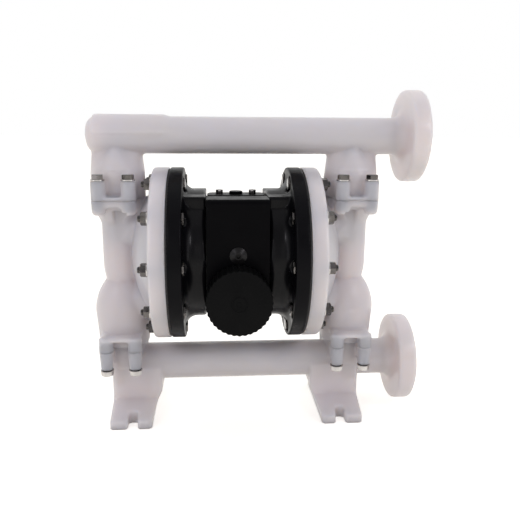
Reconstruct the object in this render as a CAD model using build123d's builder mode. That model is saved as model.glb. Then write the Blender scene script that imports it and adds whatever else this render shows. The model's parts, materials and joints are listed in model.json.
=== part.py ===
"""Air operated double diaphragm pump with one inch flanged ports.

The shaft lies along X and the two flanged ports open towards +X.  The muffler faces -Y and
the air inlet +Y.  The origin is on the floor, in the middle of the four anchor slots.
Most liquid-end pieces are made once, on the right (+X), and mirrored to the left.
"""

import os
from math import cos, radians

from build123d import *

os.makedirs("parts", exist_ok=True)

# ------------------------------------------------------------------ driving dimensions (mm)
SHAFT_Z = 204.0  # shaft axis above the floor
PORT_X = 139.0  # each vertical liquid column, from the middle of the pump
TOP_SEAM_Z = SHAFT_Z + 68.5  # joint under the discharge manifold
LOW_SEAM_Z = SHAFT_Z - 111.5  # joint on top of the suction manifold
DISCHARGE_Z = SHAFT_Z + 140.5  # axis of the discharge tube
SUCTION_Z = SHAFT_Z - 140.0  # axis of the suction tube

# diaphragm housings
DISC_R = 103.0  # outside of both clamped rims
CLAMP_R = 80.0  # inside of the clamped ring of the diaphragm
AIR_FACE_X = 77.2  # air-side face that clamps the diaphragm
LIQUID_FACE_X = 79.2  # liquid-side face that clamps it
BLACK_RIM_X = 61.3  # inner face of the black rim
WHITE_RIM_X = 97.8  # outer face of the white rim
RIM_BOLTS = 10
RIM_BOLT_R = 90.0
M8_R = 4.0
M8_HOLE_R = 4.5
M8_AF = 13.0
M8_WASHER_R = 8.0

# centre section
BLOCK_X = 35.0  # half width of the centre block
BLOCK_FRONT_Y = -76.0
BLOCK_REAR_Y = 52.0
BLOCK_TOP_Z = SHAFT_Z + 73.5
DECK_Z = SHAFT_Z + 66.8
BLOCK_LOW_Z = SHAFT_Z - 51.0
GASKET_T = 1.0
CHAMBER_X = BLOCK_X + GASKET_T  # inner end of each air chamber
NECK_R = 77.0
FLOOR_X = 46.0  # bottom of the air space

# liquid columns and manifolds
COLUMN_R = 21.6
BELL_R = 31.4  # ball cages
TUBE_R = 21.5  # discharge tube
SUCTION_TUBE_R = 22.6
BORE_R = 12.5  # mouth of each port
PORT_DEPTH = 45.0
TUBE_BORE_R = 12.0  # tubes behind the mouths
PASSAGE_R = 11.0  # passages between the tubes and the ball cages
CAGE_R = 17.5
JOINT_X, JOINT_Y = 16.8, 40.1  # half spacing of the four bolts of a manifold joint
BOSS_R = 8.4
FLANGE_R = 54.0
FLANGE_X = 220.3
FLANGE_T = 21.7
FLANGE_PCD = 79.4
FLANGE_HOLE_R = 5.35  # tapped for half inch studs, blind
FLANGE_HOLE_DEPTH = 17.0
FLANGE_ROUND = 2.0
HUB_ROUND = 13.0  # cove between a tube and the back of its flange

# balls and seats
BALL_R = 14.5
BALL_LIFT = 8.0
SEAT_R = 20.0
SEAT_H = 9.0

# shaft
SHAFT_R = 8.0
SHAFT_END_X = 62.5
PLATE_R = 45.0
HUB_X = 70.5  # air side of the diaphragm's flat centre
HUB_T = 3.0
STUD_R = 5.0
RUNNING_GAP = 0.05

SHAFT_AXIS = Axis((0, 0, SHAFT_Z), (1, 0, 0))
COLUMN_AXIS = Axis((PORT_X, 0, 0), (0, 0, 1))


def save(piece, name):
    """Label a finished piece and write it."""
    piece.label = name
    export_step(piece, f"parts/{name}.step")


def save_pair(piece, name):
    """Write the right-hand piece and its mirror image on the left."""
    save(piece, f"{name}_right")
    save(mirror(piece, about=Plane.YZ), f"{name}_left")


def level(z):
    """Sketch plane lying at height z."""
    return Plane.XY.offset(z)


def across(x):
    """Sketch plane square to the shaft, centred on its axis, facing +X."""
    return Plane((x, 0, SHAFT_Z), x_dir=(0, 1, 0), z_dir=(1, 0, 0))


def facing_front(y):
    """Sketch plane at depth y, centred on the shaft axis, facing -Y."""
    return Plane((0, y, SHAFT_Z), x_dir=(1, 0, 0), z_dir=(0, -1, 0))


def discs_at(plane, radius, *centres):
    """Round outlines of one radius on a plane."""
    with BuildSketch(plane) as outline:
        with Locations(*centres):
            Circle(radius)
    return outline.sketch


def cap_radius(edge_r, height):
    """Radius of the ball that a round cap of this edge radius and height is cut from."""
    return (edge_r**2 + height**2) / (2 * height)


def joint_points(x):
    """Centres of the four bolts of the manifold joint of the column at x."""
    return [(x + dx, dy) for dx in (-JOINT_X, JOINT_X) for dy in (-JOINT_Y, JOINT_Y)]


BOTH_COLUMNS = joint_points(PORT_X) + joint_points(-PORT_X)


def joint_plate(z, x=PORT_X):
    """Rounded outline of the plate between the four bosses, which stand a little proud of it."""
    corner = BOSS_R - 1.2
    with BuildSketch(level(z)) as outline:
        with Locations((x, 0)):
            RectangleRounded(2 * (JOINT_X + corner), 2 * (JOINT_Y + corner), corner)
    return outline.sketch


def cage_fins(z, inner_r, x=PORT_X):
    """Four fins that stand on the wall of a ball cage."""
    fin_in, fin_out = inner_r, CAGE_R + 1.5
    with BuildSketch(level(z)) as fins:
        with Locations((x, 0)):
            with PolarLocations((fin_in + fin_out) / 2, 4, start_angle=45):
                Rectangle(fin_out - fin_in, 4)
    return fins.sketch


# where the ball is stopped, above the joint it sits over
SEAT_CONE_TOP_R = 12.5
BALL_Z = BALL_R / cos(radians(45)) - SEAT_CONE_TOP_R + 0.1  # ball centre above the seat's top face
STOP_R = 9.0
STOP_Z = BALL_Z + BALL_LIFT + (BALL_R**2 - STOP_R**2) ** 0.5 + 0.3
CAGE_H = STOP_Z + 6.0

# ------------------------------------------------------------------ liquid chambers
# A clamped rim and domed wall, a vertical column with its lower ball cage, and two elbows.
DOME_X = 125.0
WALL = 8.0
TOP_PLATE_T = 8.0
TOP_BOSS_H = 17.0
LOW_PLATE_H = 17.5
UPPER_ELBOW, LOWER_ELBOW = 30.0, -58.0  # heights of the two elbows above the shaft axis
NECK_DROP = 31.0  # the column is narrowest this far under the shaft axis

with BuildPart() as fluid_chamber:
    with BuildSketch(Plane.XZ) as wall:
        with BuildLine():
            Polyline(
                (DOME_X, SHAFT_Z),
                (LIQUID_FACE_X, SHAFT_Z),
                (LIQUID_FACE_X, SHAFT_Z + DISC_R),
                (WHITE_RIM_X, SHAFT_Z + DISC_R),
                (WHITE_RIM_X, SHAFT_Z + CLAMP_R),
            )
            RadiusArc(
                (WHITE_RIM_X, SHAFT_Z + CLAMP_R),
                (DOME_X, SHAFT_Z),
                cap_radius(CLAMP_R, DOME_X - WHITE_RIM_X),
            )
        make_face()
        fillet(wall.vertices().group_by(Axis.Y)[-1].sort_by(Axis.X)[-1], radius=3)
    revolve(axis=SHAFT_AXIS)

    with BuildSketch(Plane.XZ):
        with BuildLine():
            Polyline(
                (PORT_X, TOP_SEAM_Z),
                (PORT_X, LOW_SEAM_Z),
                (PORT_X + BELL_R - 1, LOW_SEAM_Z),
                (PORT_X + 33.6, SHAFT_Z - 70),
            )
            ThreePointArc(
                (PORT_X + 33.6, SHAFT_Z - 70),
                (PORT_X + 28.4, SHAFT_Z - 46),
                (PORT_X + 18.8, SHAFT_Z - NECK_DROP),
            )
            ThreePointArc(
                (PORT_X + 18.8, SHAFT_Z - NECK_DROP),
                (PORT_X + 20.6, SHAFT_Z - 23),
                (PORT_X + COLUMN_R, SHAFT_Z - 10),
            )
            Polyline(
                (PORT_X + COLUMN_R, SHAFT_Z - 10),
                (PORT_X + COLUMN_R, TOP_SEAM_Z - 30),
                (PORT_X + BELL_R - 3, TOP_SEAM_Z - 16),
                (PORT_X + BELL_R - 3, TOP_SEAM_Z),
                (PORT_X, TOP_SEAM_Z),
            )
        make_face()
    revolve(axis=COLUMN_AXIS)

    with BuildSketch(across(90)):
        with Locations((0, UPPER_ELBOW)):
            Circle(24)
        with Locations((0, LOWER_ELBOW)):
            Circle(27)
    extrude(amount=PORT_X - 90)

    extrude(joint_plate(TOP_SEAM_Z - TOP_PLATE_T), amount=TOP_PLATE_T)
    extrude(joint_plate(LOW_SEAM_Z + LOW_PLATE_H - 5), amount=5)
    extrude(discs_at(level(TOP_SEAM_Z), BELL_R, (PORT_X, 0)), amount=-14)
    extrude(discs_at(level(TOP_SEAM_Z - TOP_BOSS_H), BOSS_R, *joint_points(PORT_X)), amount=TOP_BOSS_H)
    boss_ends = fluid_chamber.edges().filter_by(GeomType.CIRCLE).filter_by(
        lambda edge: abs(edge.radius - BOSS_R) < 0.1 and edge.center().Z < TOP_SEAM_Z - TOP_BOSS_H + 0.1
    )
    fillet(boss_ends, radius=4)
    extrude(discs_at(level(LOW_SEAM_Z), BOSS_R, *joint_points(PORT_X)), amount=LOW_PLATE_H)

    # hollow of the dome
    with BuildSketch(Plane.XZ):
        with BuildLine():
            Polyline(
                (DOME_X - WALL, SHAFT_Z),
                (LIQUID_FACE_X, SHAFT_Z),
                (LIQUID_FACE_X, SHAFT_Z + CLAMP_R),
                (WHITE_RIM_X - WALL, SHAFT_Z + CLAMP_R),
            )
            RadiusArc(
                (WHITE_RIM_X - WALL, SHAFT_Z + CLAMP_R),
                (DOME_X - WALL, SHAFT_Z),
                cap_radius(CLAMP_R, DOME_X - WHITE_RIM_X),
            )
        make_face()
    revolve(axis=SHAFT_AXIS, mode=Mode.SUBTRACT)

    # passages to and from the column, then the column's own bores
    with BuildSketch(across(95)):
        with Locations((0, UPPER_ELBOW), (0, LOWER_ELBOW)):
            Circle(14)
    extrude(amount=PORT_X - 95, mode=Mode.SUBTRACT)
    extrude(discs_at(level(TOP_SEAM_Z), 14, (PORT_X, 0)), amount=-(68.5 - 16), mode=Mode.SUBTRACT)
    extrude(discs_at(level(TOP_SEAM_Z), SEAT_R, (PORT_X, 0)), amount=-SEAT_H, mode=Mode.SUBTRACT)
    extrude(discs_at(level(LOW_SEAM_Z), 14, (PORT_X, 0)), amount=111.5 - 60, mode=Mode.SUBTRACT)
    extrude(discs_at(level(LOW_SEAM_Z), CAGE_R, (PORT_X, 0)), amount=CAGE_H, mode=Mode.SUBTRACT)
    extrude(cage_fins(LOW_SEAM_Z + 1, BALL_R + 0.5), amount=STOP_Z - 1)
    extrude(cage_fins(LOW_SEAM_Z + STOP_Z, STOP_R), amount=4)

    # seal grooves, insert pockets and rim holes
    with BuildSketch(level(TOP_SEAM_Z)):
        with Locations((PORT_X, 0)):
            Circle(25)
            Circle(22, mode=Mode.SUBTRACT)
    extrude(amount=-2.2, mode=Mode.SUBTRACT)
    extrude(discs_at(level(TOP_SEAM_Z), 5.5, *joint_points(PORT_X)), amount=-13, mode=Mode.SUBTRACT)
    extrude(discs_at(level(LOW_SEAM_Z), 5.5, *joint_points(PORT_X)), amount=13, mode=Mode.SUBTRACT)
    with BuildSketch(across(LIQUID_FACE_X)):
        with PolarLocations(RIM_BOLT_R, RIM_BOLTS, start_angle=180):
            Circle(M8_HOLE_R)
    extrude(amount=WHITE_RIM_X - LIQUID_FACE_X, mode=Mode.SUBTRACT)

save_pair(fluid_chamber.part, "fluid_chamber")

# ------------------------------------------------------------------ air chambers
# Black bowls: a round neck, a hollow flare up to the rim, and a squared collar on top.
COLLAR_Y = 49.0
HEAD_SEAT_X = BLACK_RIM_X + 3.0  # floor of each bolt head's pocket
POCKET_R = 9.5
FLARE_R = 13.5
AIR_SCREW_R, AIR_SCREWS = 58.0, 4
BUSH_R = 11.0

with BuildPart() as air_chamber:
    with BuildSketch(Plane.XZ) as bowl:
        with BuildLine():
            Polyline(
                (BLACK_RIM_X - FLARE_R, SHAFT_Z + NECK_R),
                (CHAMBER_X, SHAFT_Z + NECK_R),
                (CHAMBER_X, SHAFT_Z),
                (AIR_FACE_X, SHAFT_Z),
                (AIR_FACE_X, SHAFT_Z + DISC_R),
                (BLACK_RIM_X, SHAFT_Z + DISC_R),
                (BLACK_RIM_X, SHAFT_Z + NECK_R + FLARE_R),
            )
            RadiusArc(
                (BLACK_RIM_X, SHAFT_Z + NECK_R + FLARE_R),
                (BLACK_RIM_X - FLARE_R, SHAFT_Z + NECK_R),
                FLARE_R,
            )
        make_face()
        fillet(bowl.vertices().group_by(Axis.Y)[-1], radius=1.5)
        fillet(bowl.vertices().sort_by_distance((CHAMBER_X, SHAFT_Z + NECK_R))[0], radius=4)
    revolve(axis=SHAFT_AXIS)
    with BuildSketch(across(CHAMBER_X)):
        with Locations((0, 36.75)):
            Rectangle(2 * COLLAR_Y, 73.5)
    extrude(amount=BLACK_RIM_X - CHAMBER_X)
    along_shaft = air_chamber.edges().filter_by(Axis.X)
    collar_corners = along_shaft.filter_by(lambda edge: edge.center().Z > SHAFT_Z + 73 and edge.length < 26)
    fillet(collar_corners, radius=2.5)

    with BuildSketch(Plane.XZ):
        with BuildLine():
            Polyline(
                (AIR_FACE_X, SHAFT_Z + CLAMP_R),
                (AIR_FACE_X, SHAFT_Z),
                (FLOOR_X, SHAFT_Z),
                (FLOOR_X, SHAFT_Z + 60),
            )
            ThreePointArc((FLOOR_X, SHAFT_Z + 60), (50, SHAFT_Z + 66), (58, SHAFT_Z + 70))
            Line((58, SHAFT_Z + 70), (AIR_FACE_X, SHAFT_Z + CLAMP_R))
        make_face()
    revolve(axis=SHAFT_AXIS, mode=Mode.SUBTRACT)

    with BuildSketch(across(BLACK_RIM_X)):
        with PolarLocations(RIM_BOLT_R, RIM_BOLTS, start_angle=180):
            Circle(M8_HOLE_R)
    extrude(amount=AIR_FACE_X - BLACK_RIM_X, mode=Mode.SUBTRACT)
    with BuildSketch(across(HEAD_SEAT_X)):
        with PolarLocations(RIM_BOLT_R, RIM_BOLTS, start_angle=180):
            Circle(POCKET_R)
    extrude(amount=CHAMBER_X + 5 - HEAD_SEAT_X, mode=Mode.SUBTRACT)
    # shaft opening, pilot opening, air port and the screws that hold the bowl to the block
    with BuildSketch(across(CHAMBER_X)):
        Circle(BUSH_R)
        with Locations((0, 32)):
            Circle(6)
        with Locations((28, -25)):
            Circle(5)
        with PolarLocations(AIR_SCREW_R, AIR_SCREWS, start_angle=45):
            Circle(3.3)
    extrude(amount=FLOOR_X - CHAMBER_X, mode=Mode.SUBTRACT)
    with BuildSketch(across(FLOOR_X)):
        with PolarLocations(AIR_SCREW_R, AIR_SCREWS, start_angle=45):
            Circle(5.5)
    extrude(amount=-6, mode=Mode.SUBTRACT)

save_pair(air_chamber.part, "air_chamber")

with BuildPart() as air_chamber_gasket:
    with BuildSketch(across(BLOCK_X)):
        Circle(70)
        Circle(BUSH_R + 1, mode=Mode.SUBTRACT)
        with Locations((0, -94)):
            Rectangle(200, 86, mode=Mode.SUBTRACT)
        with Locations((0, 110)):
            Rectangle(200, 86, mode=Mode.SUBTRACT)
        with Locations((102, 0)):
            Rectangle(100, 200, mode=Mode.SUBTRACT)
        with Locations((0, 32)):
            Circle(6, mode=Mode.SUBTRACT)
        with Locations((28, -25)):
            Circle(5, mode=Mode.SUBTRACT)
        with PolarLocations(AIR_SCREW_R, AIR_SCREWS, start_angle=45):
            Circle(3.3, mode=Mode.SUBTRACT)
    extrude(amount=GASKET_T)
save_pair(air_chamber_gasket.part, "air_chamber_gasket")

SCREW_SEAT_X = FLOOR_X - 6
with BuildPart() as air_chamber_screws:
    with BuildSketch(across(SCREW_SEAT_X)):
        with PolarLocations(AIR_SCREW_R, AIR_SCREWS, start_angle=45):
            Circle(5)
            RegularPolygon(2.9, 6, mode=Mode.SUBTRACT)
    extrude(amount=6)
    with BuildSketch(across(SCREW_SEAT_X + 2)):
        with PolarLocations(AIR_SCREW_R, AIR_SCREWS, start_angle=45):
            Circle(3)
    extrude(amount=-22)
    mirror(about=Plane.YZ)
save(air_chamber_screws.part, "air_chamber_screws")

# ------------------------------------------------------------------ discharge manifold
# A tube closed and rounded at its left end, two bells that hold the upper balls, one flange.
TUBE_END_X = -173.0
TUBE_END_R = 13.0
PAD_R = 23.7  # the raised band on the upper front of the tube
ARCH_TOP_X, ARCH_TOP_Y = 11.0, 17.4  # half sizes of the top of each arch, flush with the tube
END_WALL = 20.0  # solid end of each tube
BELL_H = 29.0
ARCH_FOOT = 33.0
TOP_BOSS_UP = 22.5


def port_face(z):
    """Sketch plane on the face of a flange, centred on its bore, facing +X."""
    return Plane((FLANGE_X, 0, z), x_dir=(0, 1, 0), z_dir=(1, 0, 0))


def rim_edges(manifold):
    """Both outer edges of the flange of a manifold that is being built."""
    return manifold.edges().filter_by(GeomType.CIRCLE).filter_by(lambda edge: abs(edge.radius - FLANGE_R) < 0.1)


def stud_holes(z):
    """Outlines of the four holes of a flange, which straddle its centre line."""
    with BuildSketch(port_face(z)) as holes:
        with PolarLocations(FLANGE_PCD / 2, 4, start_angle=45):
            Circle(FLANGE_HOLE_R)
    return holes.sketch


with BuildPart() as discharge_manifold:
    with BuildSketch(Plane.XZ) as side:
        with BuildLine():
            Polyline(
                (TUBE_END_X, DISCHARGE_Z),
                (TUBE_END_X, DISCHARGE_Z + TUBE_R - TUBE_END_R),
            )
            RadiusArc(
                (TUBE_END_X, DISCHARGE_Z + TUBE_R - TUBE_END_R),
                (TUBE_END_X + TUBE_END_R, DISCHARGE_Z + TUBE_R),
                TUBE_END_R,
            )
            Line(
                (TUBE_END_X + TUBE_END_R, DISCHARGE_Z + TUBE_R),
                (FLANGE_X - FLANGE_T - HUB_ROUND, DISCHARGE_Z + TUBE_R),
            )
            RadiusArc(
                (FLANGE_X - FLANGE_T - HUB_ROUND, DISCHARGE_Z + TUBE_R),
                (FLANGE_X - FLANGE_T, DISCHARGE_Z + TUBE_R + HUB_ROUND),
                -HUB_ROUND,
            )
            Polyline(
                (FLANGE_X - FLANGE_T, DISCHARGE_Z + TUBE_R + HUB_ROUND),
                (FLANGE_X - FLANGE_T, DISCHARGE_Z),
                (TUBE_END_X, DISCHARGE_Z),
            )
        make_face()
    revolve(axis=Axis((0, 0, DISCHARGE_Z), (1, 0, 0)))
    extrude(discs_at(port_face(DISCHARGE_Z), FLANGE_R, (0, 0)), amount=-FLANGE_T)
    fillet(rim_edges(discharge_manifold), radius=FLANGE_ROUND)
    for column_x in (-PORT_X, PORT_X):
        extrude(discs_at(level(TOP_SEAM_Z), BELL_R, (column_x, 0)), amount=BELL_H)
        with BuildSketch(level(TOP_SEAM_Z + BELL_H)):
            with Locations((column_x, 0)):
                Circle(BELL_R)
        with BuildSketch(level(DISCHARGE_Z - 8)):
            with Locations((column_x, 0)):
                Ellipse(28.5, 9)
        loft()
        # arch that narrows upwards across the front and the back of the tube
        with BuildSketch(level(TOP_SEAM_Z + ARCH_FOOT)):
            with Locations((column_x, 0)):
                Circle(BELL_R - 0.6)
        with BuildSketch(level(DISCHARGE_Z - 13)):
            with Locations((column_x, 0)):
                Ellipse(ARCH_TOP_X, ARCH_TOP_Y)
        loft()
        extrude(discs_at(level(TOP_SEAM_Z), BOSS_R, *joint_points(column_x)), amount=TOP_BOSS_UP)
        extrude(joint_plate(TOP_SEAM_Z, column_x), amount=4)
        for side_y in (-1, 1):
            with BuildSketch(level(TOP_SEAM_Z)):
                with Locations((column_x - JOINT_X, side_y * 30), (column_x + JOINT_X, side_y * 30)):
                    Rectangle(2 * BOSS_R - 4, 20)
            extrude(amount=TOP_BOSS_UP - 2)
    # raised band along the left end of the tube, from just behind its top down to its front
    with BuildSketch(Plane((0, 0, DISCHARGE_Z), x_dir=(1, 0, 0), z_dir=(0, -1, 0)).rotated((-15, 0, 0))):
        Polygon(
            (TUBE_END_X + 7, TUBE_R - 6),
            (TUBE_END_X + 9, PAD_R),
            (-84, PAD_R),
            (-73, TUBE_R - 1),
            (-73, TUBE_R - 6),
            align=None,
        )
    revolve(axis=Axis((0, 0, DISCHARGE_Z), (1, 0, 0)), revolution_arc=100)

    extrude(stud_holes(DISCHARGE_Z), amount=-FLANGE_HOLE_DEPTH, mode=Mode.SUBTRACT)
    mouth = port_face(DISCHARGE_Z)
    tube_depth = FLANGE_X - TUBE_END_X - END_WALL
    extrude(discs_at(mouth, TUBE_BORE_R, (0, 0)), amount=-tube_depth, mode=Mode.SUBTRACT)
    extrude(discs_at(mouth, BORE_R, (0, 0)), amount=-PORT_DEPTH, mode=Mode.SUBTRACT)
    for column_x in (-PORT_X, PORT_X):
        extrude(
            discs_at(level(TOP_SEAM_Z), PASSAGE_R, (column_x, 0)),
            amount=DISCHARGE_Z - TOP_SEAM_Z + 4,
            mode=Mode.SUBTRACT,
        )
        extrude(discs_at(level(TOP_SEAM_Z), CAGE_R, (column_x, 0)), amount=CAGE_H, mode=Mode.SUBTRACT)
        extrude(cage_fins(TOP_SEAM_Z + 1, BALL_R + 0.5, column_x), amount=STOP_Z - 1)
        extrude(cage_fins(TOP_SEAM_Z + STOP_Z, STOP_R, column_x), amount=4)
        extrude(
            discs_at(level(TOP_SEAM_Z), M8_HOLE_R, *joint_points(column_x)),
            amount=TOP_BOSS_UP,
            mode=Mode.SUBTRACT,
        )
save(discharge_manifold.part, "discharge_manifold")

# ------------------------------------------------------------------ suction manifold and feet
SUCTION_END_X = -164.0
RISER_R = 26.0
LOW_BOSS_H = 23.2
FOOT_OUT_X, FOOT_IN_X, TOE_IN_X = 153.0, 93.0, 103.0
FOOT_NECK_Y, FOOT_TOE_Y = 24.5, 59.0
NECK_LOW_Z, TOE_TOP_Z = 24.0, 10.0
TOE_ROUND = 3.0
SLOT_X, SLOT_W, SLOT_L = 126.3, 11.6, 16.5

with BuildPart() as suction_manifold:
    with BuildSketch(Plane.XZ):
        with BuildLine():
            Line((SUCTION_END_X, SUCTION_Z), (SUCTION_END_X, SUCTION_Z + 2))
            RadiusArc(
                (SUCTION_END_X, SUCTION_Z + 2),
                (SUCTION_END_X + SUCTION_TUBE_R - 2, SUCTION_Z + SUCTION_TUBE_R),
                SUCTION_TUBE_R - 2,
            )
            Line(
                (SUCTION_END_X + SUCTION_TUBE_R - 2, SUCTION_Z + SUCTION_TUBE_R),
                (FLANGE_X - FLANGE_T - HUB_ROUND, SUCTION_Z + SUCTION_TUBE_R),
            )
            RadiusArc(
                (FLANGE_X - FLANGE_T - HUB_ROUND, SUCTION_Z + SUCTION_TUBE_R),
                (FLANGE_X - FLANGE_T, SUCTION_Z + SUCTION_TUBE_R + HUB_ROUND),
                -HUB_ROUND,
            )
            Polyline(
                (FLANGE_X - FLANGE_T, SUCTION_Z + SUCTION_TUBE_R + HUB_ROUND),
                (FLANGE_X - FLANGE_T, SUCTION_Z),
                (SUCTION_END_X, SUCTION_Z),
            )
        make_face()
    revolve(axis=Axis((0, 0, SUCTION_Z), (1, 0, 0)))
    extrude(discs_at(port_face(SUCTION_Z), FLANGE_R, (0, 0)), amount=-FLANGE_T)
    fillet(rim_edges(suction_manifold), radius=FLANGE_ROUND)
    for column_x in (-PORT_X, PORT_X):
        hand = 1 if column_x > 0 else -1
        extrude(discs_at(level(LOW_SEAM_Z), RISER_R, (column_x, 0)), amount=SUCTION_Z - LOW_SEAM_Z)
        extrude(discs_at(level(LOW_SEAM_Z), BOSS_R, *joint_points(column_x)), amount=-LOW_BOSS_H, taper=3)
        for side_y in (-1, 1):
            with BuildSketch(level(LOW_SEAM_Z)):
                with Locations((column_x - JOINT_X, side_y * 26), (column_x + JOINT_X, side_y * 26)):
                    Rectangle(2 * BOSS_R - 6, 24)
            extrude(amount=-LOW_BOSS_H + 3)
        # pedestal: its side outline runs along X, then its inner edge is cut back at the toes
        with BuildSketch(Plane((hand * FOOT_IN_X, 0, 0), x_dir=(0, 1, 0), z_dir=(1, 0, 0))):
            Polygon(
                (-FOOT_NECK_Y, SUCTION_Z),
                (-FOOT_NECK_Y, NECK_LOW_Z),
                (-FOOT_TOE_Y, TOE_TOP_Z),
                (-FOOT_TOE_Y, 0),
                (FOOT_TOE_Y, 0),
                (FOOT_TOE_Y, TOE_TOP_Z),
                (FOOT_NECK_Y, NECK_LOW_Z),
                (FOOT_NECK_Y, SUCTION_Z),
                align=None,
            )
        extrude(amount=hand * (FOOT_OUT_X - FOOT_IN_X))
        with BuildSketch(Plane.XZ.offset(-FOOT_TOE_Y - 1)):
            Polygon(
                (hand * (FOOT_IN_X - 1), NECK_LOW_Z + 8),
                (hand * FOOT_IN_X, NECK_LOW_Z + 8),
                (hand * TOE_IN_X, TOE_TOP_Z),
                (hand * TOE_IN_X, -1),
                (hand * (FOOT_IN_X - 1), -1),
                align=None,
            )
        extrude(amount=2 * FOOT_TOE_Y + 2, mode=Mode.SUBTRACT)
        with BuildSketch(level(-1)):
            with Locations((hand * SLOT_X, -FOOT_TOE_Y), (hand * SLOT_X, FOOT_TOE_Y)):
                RectangleRounded(SLOT_W, 2 * SLOT_L, SLOT_W / 2 - 0.5)
        extrude(amount=NECK_LOW_Z, mode=Mode.SUBTRACT)
    # rounded corners of the toes and lips of the slots
    toe_corners = suction_manifold.edges().filter_by(Axis.Z).filter_by(
        lambda edge: abs(abs(edge.center().Y) - FOOT_TOE_Y) < 0.1 and edge.center().Z < TOE_TOP_Z
    )
    fillet(toe_corners, radius=TOE_ROUND)

    extrude(stud_holes(SUCTION_Z), amount=-FLANGE_HOLE_DEPTH, mode=Mode.SUBTRACT)
    mouth = port_face(SUCTION_Z)
    tube_depth = FLANGE_X - SUCTION_END_X - END_WALL
    extrude(discs_at(mouth, TUBE_BORE_R, (0, 0)), amount=-tube_depth, mode=Mode.SUBTRACT)
    extrude(discs_at(mouth, BORE_R, (0, 0)), amount=-PORT_DEPTH, mode=Mode.SUBTRACT)
    for column_x in (-PORT_X, PORT_X):
        extrude(
            discs_at(level(LOW_SEAM_Z), PASSAGE_R, (column_x, 0)),
            amount=SUCTION_Z - LOW_SEAM_Z - 4,
            mode=Mode.SUBTRACT,
        )
        extrude(discs_at(level(LOW_SEAM_Z), SEAT_R, (column_x, 0)), amount=-SEAT_H, mode=Mode.SUBTRACT)
        with BuildSketch(level(LOW_SEAM_Z)):
            with Locations((column_x, 0)):
                Circle(25)
                Circle(22, mode=Mode.SUBTRACT)
        extrude(amount=-2.2, mode=Mode.SUBTRACT)
        extrude(
            discs_at(level(LOW_SEAM_Z), M8_HOLE_R, *joint_points(column_x)),
            amount=-LOW_BOSS_H,
            mode=Mode.SUBTRACT,
        )
save(suction_manifold.part, "suction_manifold")

# ------------------------------------------------------------------ valve seats, balls, seat rings
for row, seam_z in (("discharge", TOP_SEAM_Z), ("suction", LOW_SEAM_Z)):
    with BuildPart() as seat:
        with BuildSketch(Plane.XZ):
            Polygon(
                (PORT_X + 9, seam_z - SEAT_H),
                (PORT_X + SEAT_R, seam_z - SEAT_H),
                (PORT_X + SEAT_R, seam_z),
                (PORT_X + SEAT_CONE_TOP_R, seam_z),
                (PORT_X + 9, seam_z - SEAT_CONE_TOP_R + 9),
                align=None,
            )
        revolve(axis=COLUMN_AXIS)
    save_pair(seat.part, f"{row}_seat")

    with BuildPart() as ball:
        with Locations((PORT_X, 0, seam_z + BALL_Z)):
            Sphere(BALL_R)
    save_pair(ball.part, f"{row}_ball")

    with BuildPart() as seat_rings:
        with Locations((PORT_X, 0, seam_z - 1.1), (-PORT_X, 0, seam_z - 1.1)):
            Torus(23.5, 1.1)
    save(seat_rings.part, f"{row}_seat_rings")

# ------------------------------------------------------------------ diaphragms, plates and shaft
with BuildPart() as diaphragm:
    with BuildSketch(Plane.XZ):
        with BuildLine():
            Polyline(
                (HUB_X + HUB_T, SHAFT_Z + 47),
                (HUB_X + HUB_T, SHAFT_Z + STUD_R),
                (HUB_X, SHAFT_Z + STUD_R),
                (HUB_X, SHAFT_Z + 49),
            )
            ThreePointArc((HUB_X, SHAFT_Z + 49), (82, SHAFT_Z + 64), (AIR_FACE_X, SHAFT_Z + CLAMP_R))
            Polyline(
                (AIR_FACE_X, SHAFT_Z + CLAMP_R),
                (AIR_FACE_X, SHAFT_Z + DISC_R - 1.5),
                (LIQUID_FACE_X, SHAFT_Z + DISC_R - 1.5),
                (LIQUID_FACE_X, SHAFT_Z + CLAMP_R),
            )
            ThreePointArc(
                (LIQUID_FACE_X, SHAFT_Z + CLAMP_R), (84.6, SHAFT_Z + 64), (HUB_X + HUB_T, SHAFT_Z + 47)
            )
        make_face()
    revolve(axis=SHAFT_AXIS)
    with BuildSketch(across(AIR_FACE_X)):
        with PolarLocations(RIM_BOLT_R, RIM_BOLTS, start_angle=180):
            Circle(M8_HOLE_R)
    extrude(amount=LIQUID_FACE_X - AIR_FACE_X, mode=Mode.SUBTRACT)
save_pair(diaphragm.part, "diaphragm")

with BuildPart() as inner_plate:
    with BuildSketch(across(SHAFT_END_X)):
        Circle(PLATE_R)
        Circle(STUD_R, mode=Mode.SUBTRACT)
    extrude(amount=HUB_X - SHAFT_END_X)
    air_side_edges = inner_plate.edges().filter_by(GeomType.CIRCLE).group_by(Axis.X)[0]
    fillet(air_side_edges.sort_by(SortBy.RADIUS)[-1], radius=3)
save_pair(inner_plate.part, "inner_plate")

OUTER_PLATE_X = HUB_X + HUB_T
PLATE_EDGE_R = PLATE_R - 3
STUD_END_X = SHAFT_END_X - 18
with BuildPart() as outer_plate:
    with BuildSketch(Plane.XZ):
        with BuildLine():
            Polyline(
                (OUTER_PLATE_X + 14, SHAFT_Z),
                (STUD_END_X, SHAFT_Z),
                (STUD_END_X, SHAFT_Z + STUD_R),
                (OUTER_PLATE_X, SHAFT_Z + STUD_R),
                (OUTER_PLATE_X, SHAFT_Z + PLATE_EDGE_R),
                (OUTER_PLATE_X + 4, SHAFT_Z + PLATE_EDGE_R),
            )
            RadiusArc(
                (OUTER_PLATE_X + 4, SHAFT_Z + PLATE_EDGE_R),
                (OUTER_PLATE_X + 14, SHAFT_Z),
                cap_radius(PLATE_EDGE_R, 10),
            )
        make_face()
    revolve(axis=SHAFT_AXIS)
save_pair(outer_plate.part, "outer_plate")

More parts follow.
